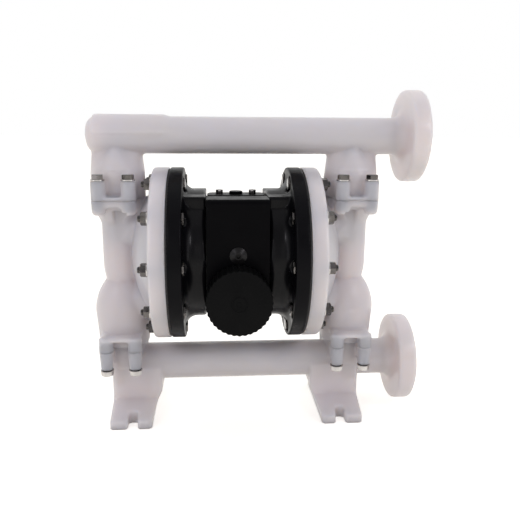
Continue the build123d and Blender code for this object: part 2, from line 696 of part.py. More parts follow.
with BuildPart() as connecting_rod:
    with BuildSketch(across(-SHAFT_END_X)):
        Circle(SHAFT_R)
    extrude(amount=2 * SHAFT_END_X)
    chamfer(connecting_rod.edges().filter_by(GeomType.CIRCLE), length=1)
    for end_x, depth in ((-SHAFT_END_X, 18), (SHAFT_END_X, -18)):
        with BuildSketch(across(end_x)):
            Circle(STUD_R)
        extrude(amount=depth, mode=Mode.SUBTRACT)
save(connecting_rod.part, "connecting_rod")

BUSH_L = 12.0
with BuildPart() as shaft_bushes:
    with BuildSketch(across(BLOCK_X)):
        Circle(BUSH_R)
        Circle(SHAFT_R + RUNNING_GAP, mode=Mode.SUBTRACT)
    extrude(amount=-BUSH_L)
    mirror(about=Plane.YZ)
save(shaft_bushes.part, "shaft_bushes")

with BuildPart() as shaft_seals:
    with BuildSketch(across(BLOCK_X + 0.5)):
        Circle(BUSH_R)
        Circle(SHAFT_R + RUNNING_GAP, mode=Mode.SUBTRACT)
    extrude(amount=5)
    mirror(about=Plane.YZ)
save(shaft_seals.part, "shaft_seals")

# ------------------------------------------------------------------ pilot rod
PILOT_UP = 32.0
PILOT_R = 4.0
PILOT_END_X = 56.0
PILOT_BUSH_R = 6.0

with BuildPart() as pilot_rod:
    with BuildSketch(Plane((-PILOT_END_X, 0, SHAFT_Z + PILOT_UP), x_dir=(0, 1, 0), z_dir=(1, 0, 0))):
        Circle(PILOT_R)
    extrude(amount=2 * PILOT_END_X)
    chamfer(pilot_rod.edges().filter_by(GeomType.CIRCLE), length=0.6)
save(pilot_rod.part, "pilot_rod")

with BuildPart() as pilot_bushes:
    with BuildSketch(Plane((FLOOR_X, 0, SHAFT_Z + PILOT_UP), x_dir=(0, 1, 0), z_dir=(1, 0, 0))):
        Circle(PILOT_BUSH_R)
        Circle(PILOT_R + RUNNING_GAP, mode=Mode.SUBTRACT)
    extrude(amount=-18)
    mirror(about=Plane.YZ)
save(pilot_bushes.part, "pilot_bushes")

# ------------------------------------------------------------------ centre block
# A solid block with the bores of the shaft, the pilot rod, the exhaust and the air passages.
# air valve on its back: half width, depths, and the holes both pieces share
VALVE_X = 25.0
VALVE_GASKET_T = 1.5
VALVE_FACE_Y = BLOCK_REAR_Y + VALVE_GASKET_T
VALVE_REAR_Y = VALVE_FACE_Y + 48.0
VALVE_LOW, VALVE_HIGH = -43.0, 36.0
SPOOL_Y = VALVE_FACE_Y + 20.0
SLEEVE_R, SPOOL_R = 13.0, 9.0
SPOOL_TRAVEL = 12.0
INLET_R, INLET_DEPTH = 7.5, 14.0
VALVE_SCREWS = [(x, z) for x in (-19, 19) for z in (-34, 29)]
AIR_PORTS = [(-15, -25), (15, -25)]
EXHAUST_PORT = (0, -27)
CAP_SCREWS = [(y, z) for y in (-13, 13) for z in (-13, 13)]
MUFFLER_DROP = 34.0
SPIGOT_R = 11.0
PLUG_UP = 11.4
COVER_BOLT_X = 19.8

with BuildPart() as centre_block:
    with BuildSketch(Plane((-BLOCK_X, 0, 0), x_dir=(0, 1, 0), z_dir=(1, 0, 0))) as profile:
        Polygon(
            (BLOCK_FRONT_Y, BLOCK_LOW_Z),
            (BLOCK_FRONT_Y, BLOCK_TOP_Z),
            (-39, BLOCK_TOP_Z),
            (-36, DECK_Z),
            (BLOCK_REAR_Y, DECK_Z),
            (BLOCK_REAR_Y, BLOCK_LOW_Z),
            align=None,
        )
        fillet(profile.vertices().sort_by_distance((BLOCK_FRONT_Y, BLOCK_TOP_Z))[0], radius=5)
        fillet(profile.vertices().sort_by_distance((BLOCK_FRONT_Y, BLOCK_LOW_Z))[0], radius=3)
    extrude(amount=2 * BLOCK_X)
    # bores across the block: shaft, pilot rod, air ports and screw holes
    with BuildSketch(across(-BLOCK_X)):
        Circle(SHAFT_R + 1)
        with Locations((0, PILOT_UP)):
            Circle(PILOT_R + 1)
    extrude(amount=2 * BLOCK_X, mode=Mode.SUBTRACT)
    for hand in (-1, 1):
        with BuildSketch(across(hand * BLOCK_X)):
            Circle(BUSH_R)
        extrude(amount=-hand * BUSH_L, mode=Mode.SUBTRACT)
        with BuildSketch(across(hand * BLOCK_X)):
            with Locations((0, PILOT_UP)):
                Circle(PILOT_BUSH_R)
        extrude(amount=-hand * (18 - (FLOOR_X - BLOCK_X)), mode=Mode.SUBTRACT)
        with BuildSketch(across(hand * BLOCK_X)):
            with Locations((28, -25)):
                Circle(5)
        extrude(amount=-hand * 22, mode=Mode.SUBTRACT)
        with BuildSketch(across(hand * BLOCK_X)):
            with PolarLocations(AIR_SCREW_R, AIR_SCREWS, start_angle=45):
                Circle(3)
        extrude(amount=-hand * (20 - (SCREW_SEAT_X - BLOCK_X)), mode=Mode.SUBTRACT)
    # exhaust opening, plug hole and air passages
    with BuildSketch(facing_front(BLOCK_FRONT_Y)):
        with Locations((0, -MUFFLER_DROP)):
            Circle(SPIGOT_R)
    extrude(amount=-40, mode=Mode.SUBTRACT)
    with BuildSketch(facing_front(BLOCK_FRONT_Y)):
        with Locations((0, PLUG_UP)):
            Circle(5)
    extrude(amount=-14, mode=Mode.SUBTRACT)
    with BuildSketch(facing_front(BLOCK_REAR_Y)):
        with Locations(*AIR_PORTS):
            Circle(4)
        with Locations(EXHAUST_PORT):
            Circle(6)
    extrude(amount=28, mode=Mode.SUBTRACT)
    with BuildSketch(facing_front(BLOCK_REAR_Y)):
        with Locations(*VALVE_SCREWS):
            Circle(3)
    extrude(amount=14, mode=Mode.SUBTRACT)
    with BuildSketch(level(DECK_Z)):
        Circle(7)
        with Locations((-COVER_BOLT_X, 0), (COVER_BOLT_X, 0)):
            Circle(2.5)
    extrude(amount=-14, mode=Mode.SUBTRACT)
save(centre_block.part, "centre_block")

# ------------------------------------------------------------------ top cover
COVER_X, COVER_Y = 34.0, 16.5
COVER_GASKET_T = 1.5
COVER_T = 3.4


def cover_outline(z):
    """Rounded plate outline with two screw holes and the middle hole of the plug."""
    with BuildSketch(level(z)) as outline:
        RectangleRounded(2 * COVER_X, 2 * COVER_Y, 7)
        with Locations((-COVER_BOLT_X, 0), (COVER_BOLT_X, 0)):
            Circle(2.5, mode=Mode.SUBTRACT)
        Circle(5, mode=Mode.SUBTRACT)
    return outline.sketch


with BuildPart() as top_cover_gasket:
    extrude(cover_outline(DECK_Z), amount=COVER_GASKET_T)
save(top_cover_gasket.part, "top_cover_gasket")

COVER_TOP_Z = DECK_Z + COVER_GASKET_T + COVER_T
with BuildPart() as top_cover:
    extrude(cover_outline(DECK_Z + COVER_GASKET_T), amount=COVER_T)
    rim = top_cover.faces().sort_by(Axis.Z)[-1].outer_wire().edges()
    fillet(rim, radius=1.6)
save(top_cover.part, "top_cover")

with BuildPart() as top_cover_screws:
    with BuildSketch(level(COVER_TOP_Z)):
        with Locations((-COVER_BOLT_X, 0), (COVER_BOLT_X, 0)):
            Circle(4.25)
    extrude(amount=5)
    with BuildSketch(level(COVER_TOP_Z + 5)):
        with Locations((-COVER_BOLT_X, 0), (COVER_BOLT_X, 0)):
            RegularPolygon(2.3, 6)
    extrude(amount=-2.6, mode=Mode.SUBTRACT)
    with BuildSketch(level(COVER_TOP_Z)):
        with Locations((-COVER_BOLT_X, 0), (COVER_BOLT_X, 0)):
            Circle(2.5)
    extrude(amount=-(COVER_TOP_Z - DECK_Z) - 12)
save(top_cover_screws.part, "top_cover_screws")

with BuildPart() as top_cover_plug:
    with BuildSketch(level(COVER_TOP_Z)):
        Circle(8)
    extrude(amount=3.4)
    fillet(top_cover_plug.edges().group_by(Axis.Z)[-1], radius=1)
    with BuildSketch(level(COVER_TOP_Z)):
        Circle(5)
    extrude(amount=-(COVER_TOP_Z - DECK_Z) - 4)
save(top_cover_plug.part, "top_cover_plug")

# ------------------------------------------------------------------ front plug
PLUG_R, PLUG_H, PLUG_TOP_R = 9.6, 3.6, 4.2
with BuildPart() as front_plug:
    with BuildSketch(Plane((0, 0, SHAFT_Z + PLUG_UP), x_dir=(0, -1, 0), z_dir=(1, 0, 0))):
        Polygon(
            (-BLOCK_FRONT_Y - 12, 0),
            (-BLOCK_FRONT_Y - 12, 5),
            (-BLOCK_FRONT_Y, 5),
            (-BLOCK_FRONT_Y, PLUG_R),
            (-BLOCK_FRONT_Y + 0.8, PLUG_R),
            (-BLOCK_FRONT_Y + PLUG_H, PLUG_TOP_R),
            (-BLOCK_FRONT_Y + PLUG_H, 0),
            align=None,
        )
    revolve(axis=Axis((0, 0, SHAFT_Z + PLUG_UP), (0, 1, 0)))
    socket = Plane((0, BLOCK_FRONT_Y - PLUG_H, SHAFT_Z + PLUG_UP), x_dir=(1, 0, 0), z_dir=(0, -1, 0))
    with BuildSketch(socket):
        RegularPolygon(2.9, 6)
    extrude(amount=-4, mode=Mode.SUBTRACT)
save(front_plug.part, "front_plug")

# ------------------------------------------------------------------ muffler
# A ribbed cup screwed into the exhaust opening, a sintered ring inside, and a flat front cap.
MUFFLER_R = 36.5
MUFFLER_RIBS = 36
MUFFLER_BACK_Y = BLOCK_FRONT_Y - 3.0
MUFFLER_FRONT_Y = BLOCK_FRONT_Y - 34.0
MUFFLER_Z = SHAFT_Z - MUFFLER_DROP
CAP_T = 3.0


def muffler_plane(y):
    """Sketch plane square to the muffler, centred on its axis, facing -Y."""
    return Plane((0, y, MUFFLER_Z), x_dir=(1, 0, 0), z_dir=(0, -1, 0))


with BuildPart() as muffler_body:
    with BuildSketch(muffler_plane(MUFFLER_BACK_Y)):
        Circle(MUFFLER_R - 1.4)
        with PolarLocations(MUFFLER_R - 1.4, MUFFLER_RIBS):
            Circle(1.4)
    extrude(amount=MUFFLER_BACK_Y - MUFFLER_FRONT_Y - CAP_T)
    with BuildSketch(muffler_plane(BLOCK_FRONT_Y)):
        Circle(16)
    extrude(amount=3)
    with BuildSketch(muffler_plane(MUFFLER_FRONT_Y + CAP_T)):
        Circle(MUFFLER_R - 4.5)
    extrude(amount=-(MUFFLER_BACK_Y - MUFFLER_FRONT_Y - CAP_T - 4), mode=Mode.SUBTRACT)
    with BuildSketch(muffler_plane(BLOCK_FRONT_Y + 16)):
        Circle(SPIGOT_R)
    extrude(amount=16)
    with BuildSketch(muffler_plane(BLOCK_FRONT_Y + 16)):
        Circle(SPIGOT_R - 3)
    extrude(amount=16 + 3 + 4, mode=Mode.SUBTRACT)
save(muffler_body.part, "muffler_body")

with BuildPart() as muffler_cap:
    with BuildSketch(muffler_plane(MUFFLER_FRONT_Y + CAP_T)):
        Circle(MUFFLER_R)
    extrude(amount=CAP_T)
    fillet(muffler_cap.edges().group_by(Axis.Y)[0], radius=1)
    # shallow ring groove and the small stub of the moulding gate
    with BuildSketch(muffler_plane(MUFFLER_FRONT_Y)):
        Circle(9)
        Circle(7.6, mode=Mode.SUBTRACT)
    extrude(amount=-0.5, mode=Mode.SUBTRACT)
    with BuildSketch(muffler_plane(MUFFLER_FRONT_Y)):
        Circle(2.2)
    extrude(amount=0.4)
save(muffler_cap.part, "muffler_cap")

with BuildPart() as muffler_element:
    with BuildSketch(muffler_plane(MUFFLER_BACK_Y - 4)):
        Circle(MUFFLER_R - 7)
        Circle(MUFFLER_R - 15, mode=Mode.SUBTRACT)
    extrude(amount=MUFFLER_BACK_Y - 4 - MUFFLER_FRONT_Y - CAP_T)
save(muffler_element.part, "muffler_element")

# ------------------------------------------------------------------ air valve, on the back


def along_spool(x):
    """Sketch plane square to the spool, centred on its axis, facing +X."""
    return Plane((x, SPOOL_Y, SHAFT_Z), x_dir=(0, 1, 0), z_dir=(1, 0, 0))


with BuildPart() as air_valve_body:
    with BuildSketch(facing_front(VALVE_REAR_Y)):
        with Locations((0, (VALVE_LOW + VALVE_HIGH) / 2)):
            RectangleRounded(2 * VALVE_X, VALVE_HIGH - VALVE_LOW, 6)
    extrude(amount=VALVE_REAR_Y - VALVE_FACE_Y)
    fillet(air_valve_body.faces().sort_by(Axis.Y)[-1].edges(), radius=3)
    with BuildSketch(along_spool(-VALVE_X)):
        Circle(SLEEVE_R)
        with Locations(*CAP_SCREWS):
            Circle(2)
    extrude(amount=2 * VALVE_X, mode=Mode.SUBTRACT)
    with BuildSketch(facing_front(VALVE_REAR_Y)):
        Circle(INLET_R)
    extrude(amount=INLET_DEPTH, mode=Mode.SUBTRACT)
    with BuildSketch(facing_front(VALVE_REAR_Y)):
        Circle(INLET_R - 3)
    extrude(amount=INLET_DEPTH + 3, mode=Mode.SUBTRACT)
    with BuildSketch(facing_front(VALVE_FACE_Y)):
        with Locations(*AIR_PORTS):
            Circle(4)
        with Locations(EXHAUST_PORT):
            Circle(6)
    extrude(amount=-14, mode=Mode.SUBTRACT)
    with BuildSketch(facing_front(VALVE_REAR_Y)):
        with Locations(*VALVE_SCREWS):
            Circle(3.3)
    extrude(amount=VALVE_REAR_Y - VALVE_FACE_Y, mode=Mode.SUBTRACT)
save(air_valve_body.part, "air_valve_body")

with BuildPart() as air_valve_gasket:
    with BuildSketch(facing_front(VALVE_FACE_Y)):
        with Locations((0, (VALVE_LOW + VALVE_HIGH) / 2)):
            RectangleRounded(2 * VALVE_X - 2, VALVE_HIGH - VALVE_LOW - 2, 5)
        with Locations(*AIR_PORTS):
            Circle(4, mode=Mode.SUBTRACT)
        with Locations(EXHAUST_PORT):
            Circle(6, mode=Mode.SUBTRACT)
        with Locations(*VALVE_SCREWS):
            Circle(3.3, mode=Mode.SUBTRACT)
    extrude(amount=VALVE_GASKET_T)
save(air_valve_gasket.part, "air_valve_gasket")

with BuildPart() as air_valve_screws:
    with BuildSketch(facing_front(VALVE_REAR_Y)):
        with Locations(*VALVE_SCREWS):
            Circle(5)
            RegularPolygon(2.9, 6, mode=Mode.SUBTRACT)
    extrude(amount=-6)
    with BuildSketch(facing_front(VALVE_REAR_Y + 3)):
        with Locations(*VALVE_SCREWS):
            Circle(3)
    extrude(amount=VALVE_REAR_Y + 3 - BLOCK_REAR_Y + 14)
save(air_valve_screws.part, "air_valve_screws")

with BuildPart() as air_valve_sleeve:
    with BuildSketch(along_spool(-VALVE_X)):
        Circle(SLEEVE_R)
        Circle(SPOOL_R, mode=Mode.SUBTRACT)
    extrude(amount=2 * VALVE_X)
    for port_x in (-15, 0, 15):
        with BuildSketch(Plane((port_x, SPOOL_Y, SHAFT_Z), x_dir=(1, 0, 0), z_dir=(0, -1, 0))):
            Rectangle(5, 6)
        extrude(amount=SLEEVE_R + 1, both=port_x == 0, mode=Mode.SUBTRACT)
save(air_valve_sleeve.part, "air_valve_sleeve")

SPOOL_START_X = -VALVE_X + 0.3
SPOOL_LENGTH = 2 * VALVE_X - SPOOL_TRAVEL - 0.6
LAND = 5.0
with BuildPart() as valve_spool:
    with BuildSketch(along_spool(SPOOL_START_X)):
        Circle(SPOOL_R - RUNNING_GAP)
    extrude(amount=SPOOL_LENGTH)
    for waist in range(3):
        pitch = (SPOOL_LENGTH - LAND) / 3
        with BuildSketch(along_spool(SPOOL_START_X + LAND + waist * pitch)):
            Circle(SPOOL_R + 1)
            Circle(SPOOL_R - 4, mode=Mode.SUBTRACT)
        extrude(amount=pitch - LAND, mode=Mode.SUBTRACT)
save(valve_spool.part, "valve_spool")

with BuildPart() as air_valve_end_cap:
    with BuildSketch(along_spool(VALVE_X)):
        RectangleRounded(36, 36, 6)
        with Locations(*CAP_SCREWS):
            Circle(2, mode=Mode.SUBTRACT)
    extrude(amount=5)
    fillet(air_valve_end_cap.faces().sort_by(Axis.X)[-1].outer_wire().edges(), radius=1.2)
save_pair(air_valve_end_cap.part, "air_valve_end_cap")

with BuildPart() as end_cap_screws:
    with BuildSketch(along_spool(VALVE_X + 5)):
        with Locations(*CAP_SCREWS):
            Circle(3.5)
            RegularPolygon(1.8, 6, mode=Mode.SUBTRACT)
    extrude(amount=4)
    with BuildSketch(along_spool(VALVE_X + 7)):
        with Locations(*CAP_SCREWS):
            Circle(2)
    extrude(amount=-18)
    mirror(about=Plane.YZ)
save(end_cap_screws.part, "end_cap_screws")

# ------------------------------------------------------------------ rim bolts, washers and nuts
NUT_H = 6.5
WASHER_T = 1.6
HEAD_H = 5.3
STUD_TIP_X = 109.3

with BuildPart() as chamber_bolts:
    with BuildSketch(across(HEAD_SEAT_X)):
        with PolarLocations(RIM_BOLT_R, RIM_BOLTS, start_angle=180):
            RegularPolygon(M8_AF / 2, 6, major_radius=False)
    extrude(amount=-HEAD_H)
    with BuildSketch(across(HEAD_SEAT_X)):
        with PolarLocations(RIM_BOLT_R, RIM_BOLTS, start_angle=180):
            Circle(M8_R)
    extrude(amount=STUD_TIP_X - HEAD_SEAT_X)
save_pair(chamber_bolts.part, "chamber_bolts")

with BuildPart() as chamber_washers:
    with BuildSketch(across(WHITE_RIM_X)):
        with PolarLocations(RIM_BOLT_R, RIM_BOLTS, start_angle=180):
            Circle(M8_WASHER_R)
            Circle(M8_R, mode=Mode.SUBTRACT)
    extrude(amount=WASHER_T)
save_pair(chamber_washers.part, "chamber_washers")

with BuildPart() as chamber_nuts:
    with BuildSketch(across(WHITE_RIM_X + WASHER_T)):
        with PolarLocations(RIM_BOLT_R, RIM_BOLTS, start_angle=180):
            RegularPolygon(M8_AF / 2, 6, major_radius=False)
            Circle(M8_R, mode=Mode.SUBTRACT)
    extrude(amount=NUT_H)
save_pair(chamber_nuts.part, "chamber_nuts")

# ------------------------------------------------------------------ manifold bolts and inserts
WASHER_Z = TOP_SEAM_Z + TOP_BOSS_UP
with BuildPart() as discharge_joint_washers:
    with BuildSketch(level(WASHER_Z)):
        with Locations(*BOTH_COLUMNS):
            Circle(M8_WASHER_R)
            Circle(M8_R, mode=Mode.SUBTRACT)
    extrude(amount=WASHER_T)
save(discharge_joint_washers.part, "discharge_joint_washers")

with BuildPart() as discharge_joint_bolts:
    with BuildSketch(level(WASHER_Z + WASHER_T)):
        with Locations(*BOTH_COLUMNS):
            RegularPolygon(M8_AF / 2, 6, major_radius=False)
    extrude(amount=HEAD_H)
    extrude(discs_at(level(WASHER_Z + WASHER_T), M8_R, *BOTH_COLUMNS), amount=-36)
save(discharge_joint_bolts.part, "discharge_joint_bolts")

LOW_BOLT_Z = LOW_SEAM_Z - LOW_BOSS_H
with BuildPart() as suction_joint_bolts:
    extrude(discs_at(level(LOW_BOLT_Z), 8.0, *BOTH_COLUMNS), amount=-1.4)
    with BuildSketch(level(LOW_BOLT_Z - 1.4)):
        with Locations(*BOTH_COLUMNS):
            RegularPolygon(M8_AF / 2, 6, major_radius=False)
    extrude(amount=-HEAD_H)
    extrude(discs_at(level(LOW_BOLT_Z), M8_R, *BOTH_COLUMNS), amount=36)
save(suction_joint_bolts.part, "suction_joint_bolts")

for row, top_z in (("discharge", TOP_SEAM_Z), ("suction", LOW_SEAM_Z + 13)):
    with BuildPart() as inserts:
        with BuildSketch(level(top_z)):
            with Locations(*BOTH_COLUMNS):
                Circle(5.5)
                Circle(M8_R, mode=Mode.SUBTRACT)
        extrude(amount=-13)
    save(inserts.part, f"{row}_joint_inserts")
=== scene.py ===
"""Studio view of an air operated diaphragm pump, with the finish of every piece."""

import json
import math

import bmesh
import bpy
from mathutils import Matrix, Vector


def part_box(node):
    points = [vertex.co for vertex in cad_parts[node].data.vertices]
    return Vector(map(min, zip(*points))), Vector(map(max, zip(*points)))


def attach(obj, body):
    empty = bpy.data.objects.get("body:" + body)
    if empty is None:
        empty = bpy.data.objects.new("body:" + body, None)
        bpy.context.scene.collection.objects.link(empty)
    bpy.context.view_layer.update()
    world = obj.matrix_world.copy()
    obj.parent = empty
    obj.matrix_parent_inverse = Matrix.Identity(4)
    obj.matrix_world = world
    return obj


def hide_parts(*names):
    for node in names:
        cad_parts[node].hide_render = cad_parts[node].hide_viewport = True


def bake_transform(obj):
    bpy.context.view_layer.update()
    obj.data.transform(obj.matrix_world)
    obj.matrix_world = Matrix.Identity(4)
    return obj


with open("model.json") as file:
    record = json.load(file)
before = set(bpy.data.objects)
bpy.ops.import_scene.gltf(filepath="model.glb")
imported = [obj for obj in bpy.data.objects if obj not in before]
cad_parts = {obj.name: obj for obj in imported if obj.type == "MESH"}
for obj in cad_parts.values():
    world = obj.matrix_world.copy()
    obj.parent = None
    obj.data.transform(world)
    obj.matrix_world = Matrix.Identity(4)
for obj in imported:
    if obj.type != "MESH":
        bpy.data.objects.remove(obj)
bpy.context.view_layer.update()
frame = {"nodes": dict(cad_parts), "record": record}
NODES = frame["nodes"]

# ---------------------------------------------------------------- camera
# A plain perspective camera. It stands a little left of the middle of the pump and looks
# slightly down on the muffler side.
MM = 0.001
CAMERA_PLACE = Vector((-25.64, -723.5, 358.75)) * MM
CAMERA_YAW = math.radians(4.384)
CAMERA_TILT = math.radians(12.85)
CAMERA_ROLL = math.radians(0.404)
LENS_MM = 41.52

sideways = Vector((math.cos(CAMERA_YAW), -math.sin(CAMERA_YAW), 0))
level_ahead = Vector((math.sin(CAMERA_YAW), math.cos(CAMERA_YAW), 0))
ahead = level_ahead * math.cos(CAMERA_TILT) - Vector((0, 0, math.sin(CAMERA_TILT)))
upward = level_ahead * math.sin(CAMERA_TILT) + Vector((0, 0, math.cos(CAMERA_TILT)))
camera_x = sideways * math.cos(CAMERA_ROLL) + upward * math.sin(CAMERA_ROLL)
camera_y = upward * math.cos(CAMERA_ROLL) - sideways * math.sin(CAMERA_ROLL)

camera = bpy.data.objects.new("camera", bpy.data.cameras.new("camera"))
bpy.context.scene.collection.objects.link(camera)
camera.data.sensor_width = 36
camera.data.lens = LENS_MM
camera.data.clip_start = 0.01
camera.matrix_world = (
    Matrix.Translation(CAMERA_PLACE) @ Matrix((camera_x, camera_y, -ahead)).transposed().to_4x4()
)
bpy.context.scene.camera = camera

# ---------------------------------------------------------------- studio
# A white wall behind the pump, a dim room in front of it for the dark parts to mirror, a white
# paper floor that keeps the shadow, and soft lamps at a plain level.
FLOOR_SIZE = 30.0
FLOOR_LIFT = 0.57  # white added for the eye alone, so that the floor ends in plain white
ROOM = (0.48, 0.47, 0.49)
WALL_EDGE, WALL_FULL = -0.05, 0.25  # how far round the wall reaches, as the sine of the bearing

studio = bpy.data.worlds.new("studio")
bpy.context.scene.world = studio
studio.use_nodes = True
studio_nodes, studio_links = studio.node_tree.nodes, studio.node_tree.links
heading = studio_nodes.new("ShaderNodeTexCoord")
split_heading = studio_nodes.new("ShaderNodeSeparateXYZ")
wall_reach = studio_nodes.new("ShaderNodeMapRange")
wall_reach.interpolation_type = "SMOOTHSTEP"
wall_reach.inputs["From Min"].default_value = WALL_EDGE
wall_reach.inputs["From Max"].default_value = WALL_FULL
wall_colour = studio_nodes.new("ShaderNodeMix")
wall_colour.data_type = "RGBA"
wall_colour.inputs["A"].default_value = (*ROOM, 1)
wall_colour.inputs["B"].default_value = (1, 1, 1, 1)
studio_links.new(heading.outputs["Generated"], split_heading.inputs[0])
studio_links.new(split_heading.outputs["Y"], wall_reach.inputs["Value"])
studio_links.new(wall_reach.outputs["Result"], wall_colour.inputs["Factor"])
studio_links.new(wall_colour.outputs["Result"], studio_nodes["Background"].inputs["Color"])

floor_mesh = bmesh.new()
bmesh.ops.create_grid(floor_mesh, x_segments=1, y_segments=1, size=FLOOR_SIZE / 2)
floor_data = bpy.data.meshes.new("floor")
floor_mesh.to_mesh(floor_data)
floor_mesh.free()
floor = bpy.data.objects.new("floor", floor_data)
bpy.context.scene.collection.objects.link(floor)
paper = bpy.data.materials.new("paper")
paper.use_nodes = True
paper_nodes, paper_links = paper.node_tree.nodes, paper.node_tree.links
paper_nodes["Principled BSDF"].inputs["Base Color"].default_value = (0.87, 0.84, 0.77, 1)
paper_nodes["Principled BSDF"].inputs["Roughness"].default_value = 1.0
paper_nodes["Principled BSDF"].inputs["Specular IOR Level"].default_value = 0.0
paper_nodes["Principled BSDF"].inputs["Emission Color"].default_value = (1, 1, 1, 1)
paper_ray = paper_nodes.new("ShaderNodeLightPath")
paper_mirrored = paper_nodes.new("ShaderNodeMath")
paper_mirrored.operation = "MAXIMUM"
paper_seen = paper_nodes.new("ShaderNodeMath")
paper_seen.operation = "MAXIMUM"
paper_lift = paper_nodes.new("ShaderNodeMath")
paper_lift.operation = "MULTIPLY"
paper_lift.inputs[1].default_value = FLOOR_LIFT
paper_links.new(paper_ray.outputs["Is Glossy Ray"], paper_mirrored.inputs[0])
paper_links.new(paper_ray.outputs["Is Transmission Ray"], paper_mirrored.inputs[1])
paper_links.new(paper_ray.outputs["Is Camera Ray"], paper_seen.inputs[0])
paper_links.new(paper_mirrored.outputs[0], paper_seen.inputs[1])
paper_links.new(paper_seen.outputs[0], paper_lift.inputs[0])
paper_links.new(paper_lift.outputs[0], paper_nodes["Principled BSDF"].inputs["Emission Strength"])
floor_data.materials.append(paper)

LAMPS = {  # place, aimed at, width and height in metres, watts, colour
    "overhead": ((0.0, -0.30, 1.35), (0, 0.02, 0.2), 1.1, 0.8, 0.8, (0.95, 0.94, 1.0)),
    "left_strip": ((-1.15, -0.85, 0.50), (0, 0, 0.2), 0.22, 1.0, 1.3, (0.92, 0.91, 1.0)),
    "right_strip": ((1.25, -0.70, 0.55), (0, 0, 0.2), 0.22, 1.0, 1.3, (0.94, 0.92, 1.0)),
    "left_spark": ((-0.75, -0.95, 0.95), (0, 0, 0.2), 0.16, 0.16, 2.0, (0.97, 0.94, 1.0)),
    "right_spark": ((0.80, -0.90, 0.85), (0, 0, 0.2), 0.16, 0.16, 2.0, (0.98, 0.95, 1.0)),
    "front_fill": ((-0.35, -2.0, 0.75), (0, 0, 0.15), 1.0, 0.7, 1.1, (1.0, 0.97, 0.94)),
}
for name, (place, target, width, height, watts, colour) in LAMPS.items():
    lamp = bpy.data.lights.new(name, "AREA")
    lamp.shape = "RECTANGLE"
    lamp.size = width
    lamp.size_y = height
    lamp.energy = watts
    lamp.color = colour
    lamp_object = bpy.data.objects.new(name, lamp)
    lamp_object.location = place
    aim = Vector(target) - Vector(place)
    lamp_object.rotation_euler = aim.to_track_quat("-Z", "Y").to_euler()
    bpy.context.scene.collection.objects.link(lamp_object)

bpy.context.scene.view_settings.view_transform = "Standard"


# ---------------------------------------------------------------- moulded white liquid parts
# Both manifolds and both liquid chambers are thick, milky natural polypropylene, injection
# moulded: every edge has a soft radius, the skin is satin and faintly wavy, light enters it.
SHELL_VOXEL = 1.9 * MM
EDGE_SOFTENING = 5  # passes that round the edges to about 2 mm


def moulded_surface():
    """Shared look of a moulded skin: slow clouding, gloss patches and a fine grain."""
    group = bpy.data.node_groups.new("moulded_surface", "ShaderNodeTree")
    group.interface.new_socket("Cloud Scale", in_out="INPUT", socket_type="NodeSocketFloat")
    group.interface.new_socket("Grain Scale", in_out="INPUT", socket_type="NodeSocketFloat")
    group.interface.new_socket("Cloud", in_out="OUTPUT", socket_type="NodeSocketFloat")
    group.interface.new_socket("Patches", in_out="OUTPUT", socket_type="NodeSocketFloat")
    group.interface.new_socket("Height", in_out="OUTPUT", socket_type="NodeSocketFloat")
    nodes, links = group.nodes, group.links
    given, out = nodes.new("NodeGroupInput"), nodes.new("NodeGroupOutput")
    place = nodes.new("ShaderNodeTexCoord")
    cloud, patches, grain = (nodes.new("ShaderNodeTexNoise") for _ in range(3))
    cloud.inputs["Detail"].default_value = 3
    patches.inputs["Detail"].default_value = 5
    patches.inputs["Roughness"].default_value = 0.65
    patches.inputs["Scale"].default_value = 55
    grain.inputs["Detail"].default_value = 2
    for noise in (cloud, patches, grain):
        links.new(place.outputs["Object"], noise.inputs["Vector"])
    links.new(given.outputs["Cloud Scale"], cloud.inputs["Scale"])
    links.new(given.outputs["Grain Scale"], grain.inputs["Scale"])
    wave = nodes.new("ShaderNodeMath")
    wave.operation = "MULTIPLY_ADD"
    wave.inputs[1].default_value = 0.35
    links.new(grain.outputs["Fac"], wave.inputs[0])
    links.new(cloud.outputs["Fac"], wave.inputs[2])
    links.new(cloud.outputs["Fac"], out.inputs["Cloud"])
    links.new(patches.outputs["Fac"], out.inputs["Patches"])
    links.new(wave.outputs[0], out.inputs["Height"])
    return group


MOULDED = moulded_surface()


def moulded_plastic(name, light, dark, gloss, cloud_scale, grain_scale, relief):
    """A moulded plastic: two tones that drift into each other, a gloss range, a fine relief."""
    made = bpy.data.materials.new(name)
    made.use_nodes = True
    nodes, links = made.node_tree.nodes, made.node_tree.links
    shader = nodes["Principled BSDF"]
    skin = nodes.new("ShaderNodeGroup")
    skin.node_tree = MOULDED
    skin.inputs["Cloud Scale"].default_value = cloud_scale
    skin.inputs["Grain Scale"].default_value = grain_scale
    tones = nodes.new("ShaderNodeMix")
    tones.data_type = "RGBA"
    tones.inputs["A"].default_value = (*dark, 1)
    tones.inputs["B"].default_value = (*light, 1)
    gloss_range = nodes.new("ShaderNodeMapRange")
    gloss_range.inputs["From Min"].default_value = 0.3
    gloss_range.inputs["From Max"].default_value = 0.7
    gloss_range.inputs["To Min"].default_value = gloss[0]
    gloss_range.inputs["To Max"].default_value = gloss[1]
    relief_bump = nodes.new("ShaderNodeBump")
    relief_bump.inputs["Strength"].default_value = relief[0]
    relief_bump.inputs["Distance"].default_value = relief[1]
    links.new(skin.outputs["Cloud"], tones.inputs["Factor"])
    links.new(tones.outputs["Result"], shader.inputs["Base Color"])
    links.new(skin.outputs["Patches"], gloss_range.inputs["Value"])
    links.new(gloss_range.outputs["Result"], shader.inputs["Roughness"])
    links.new(skin.outputs["Height"], relief_bump.inputs["Height"])
    links.new(relief_bump.outputs["Normal"], shader.inputs["Normal"])
    return made, shader


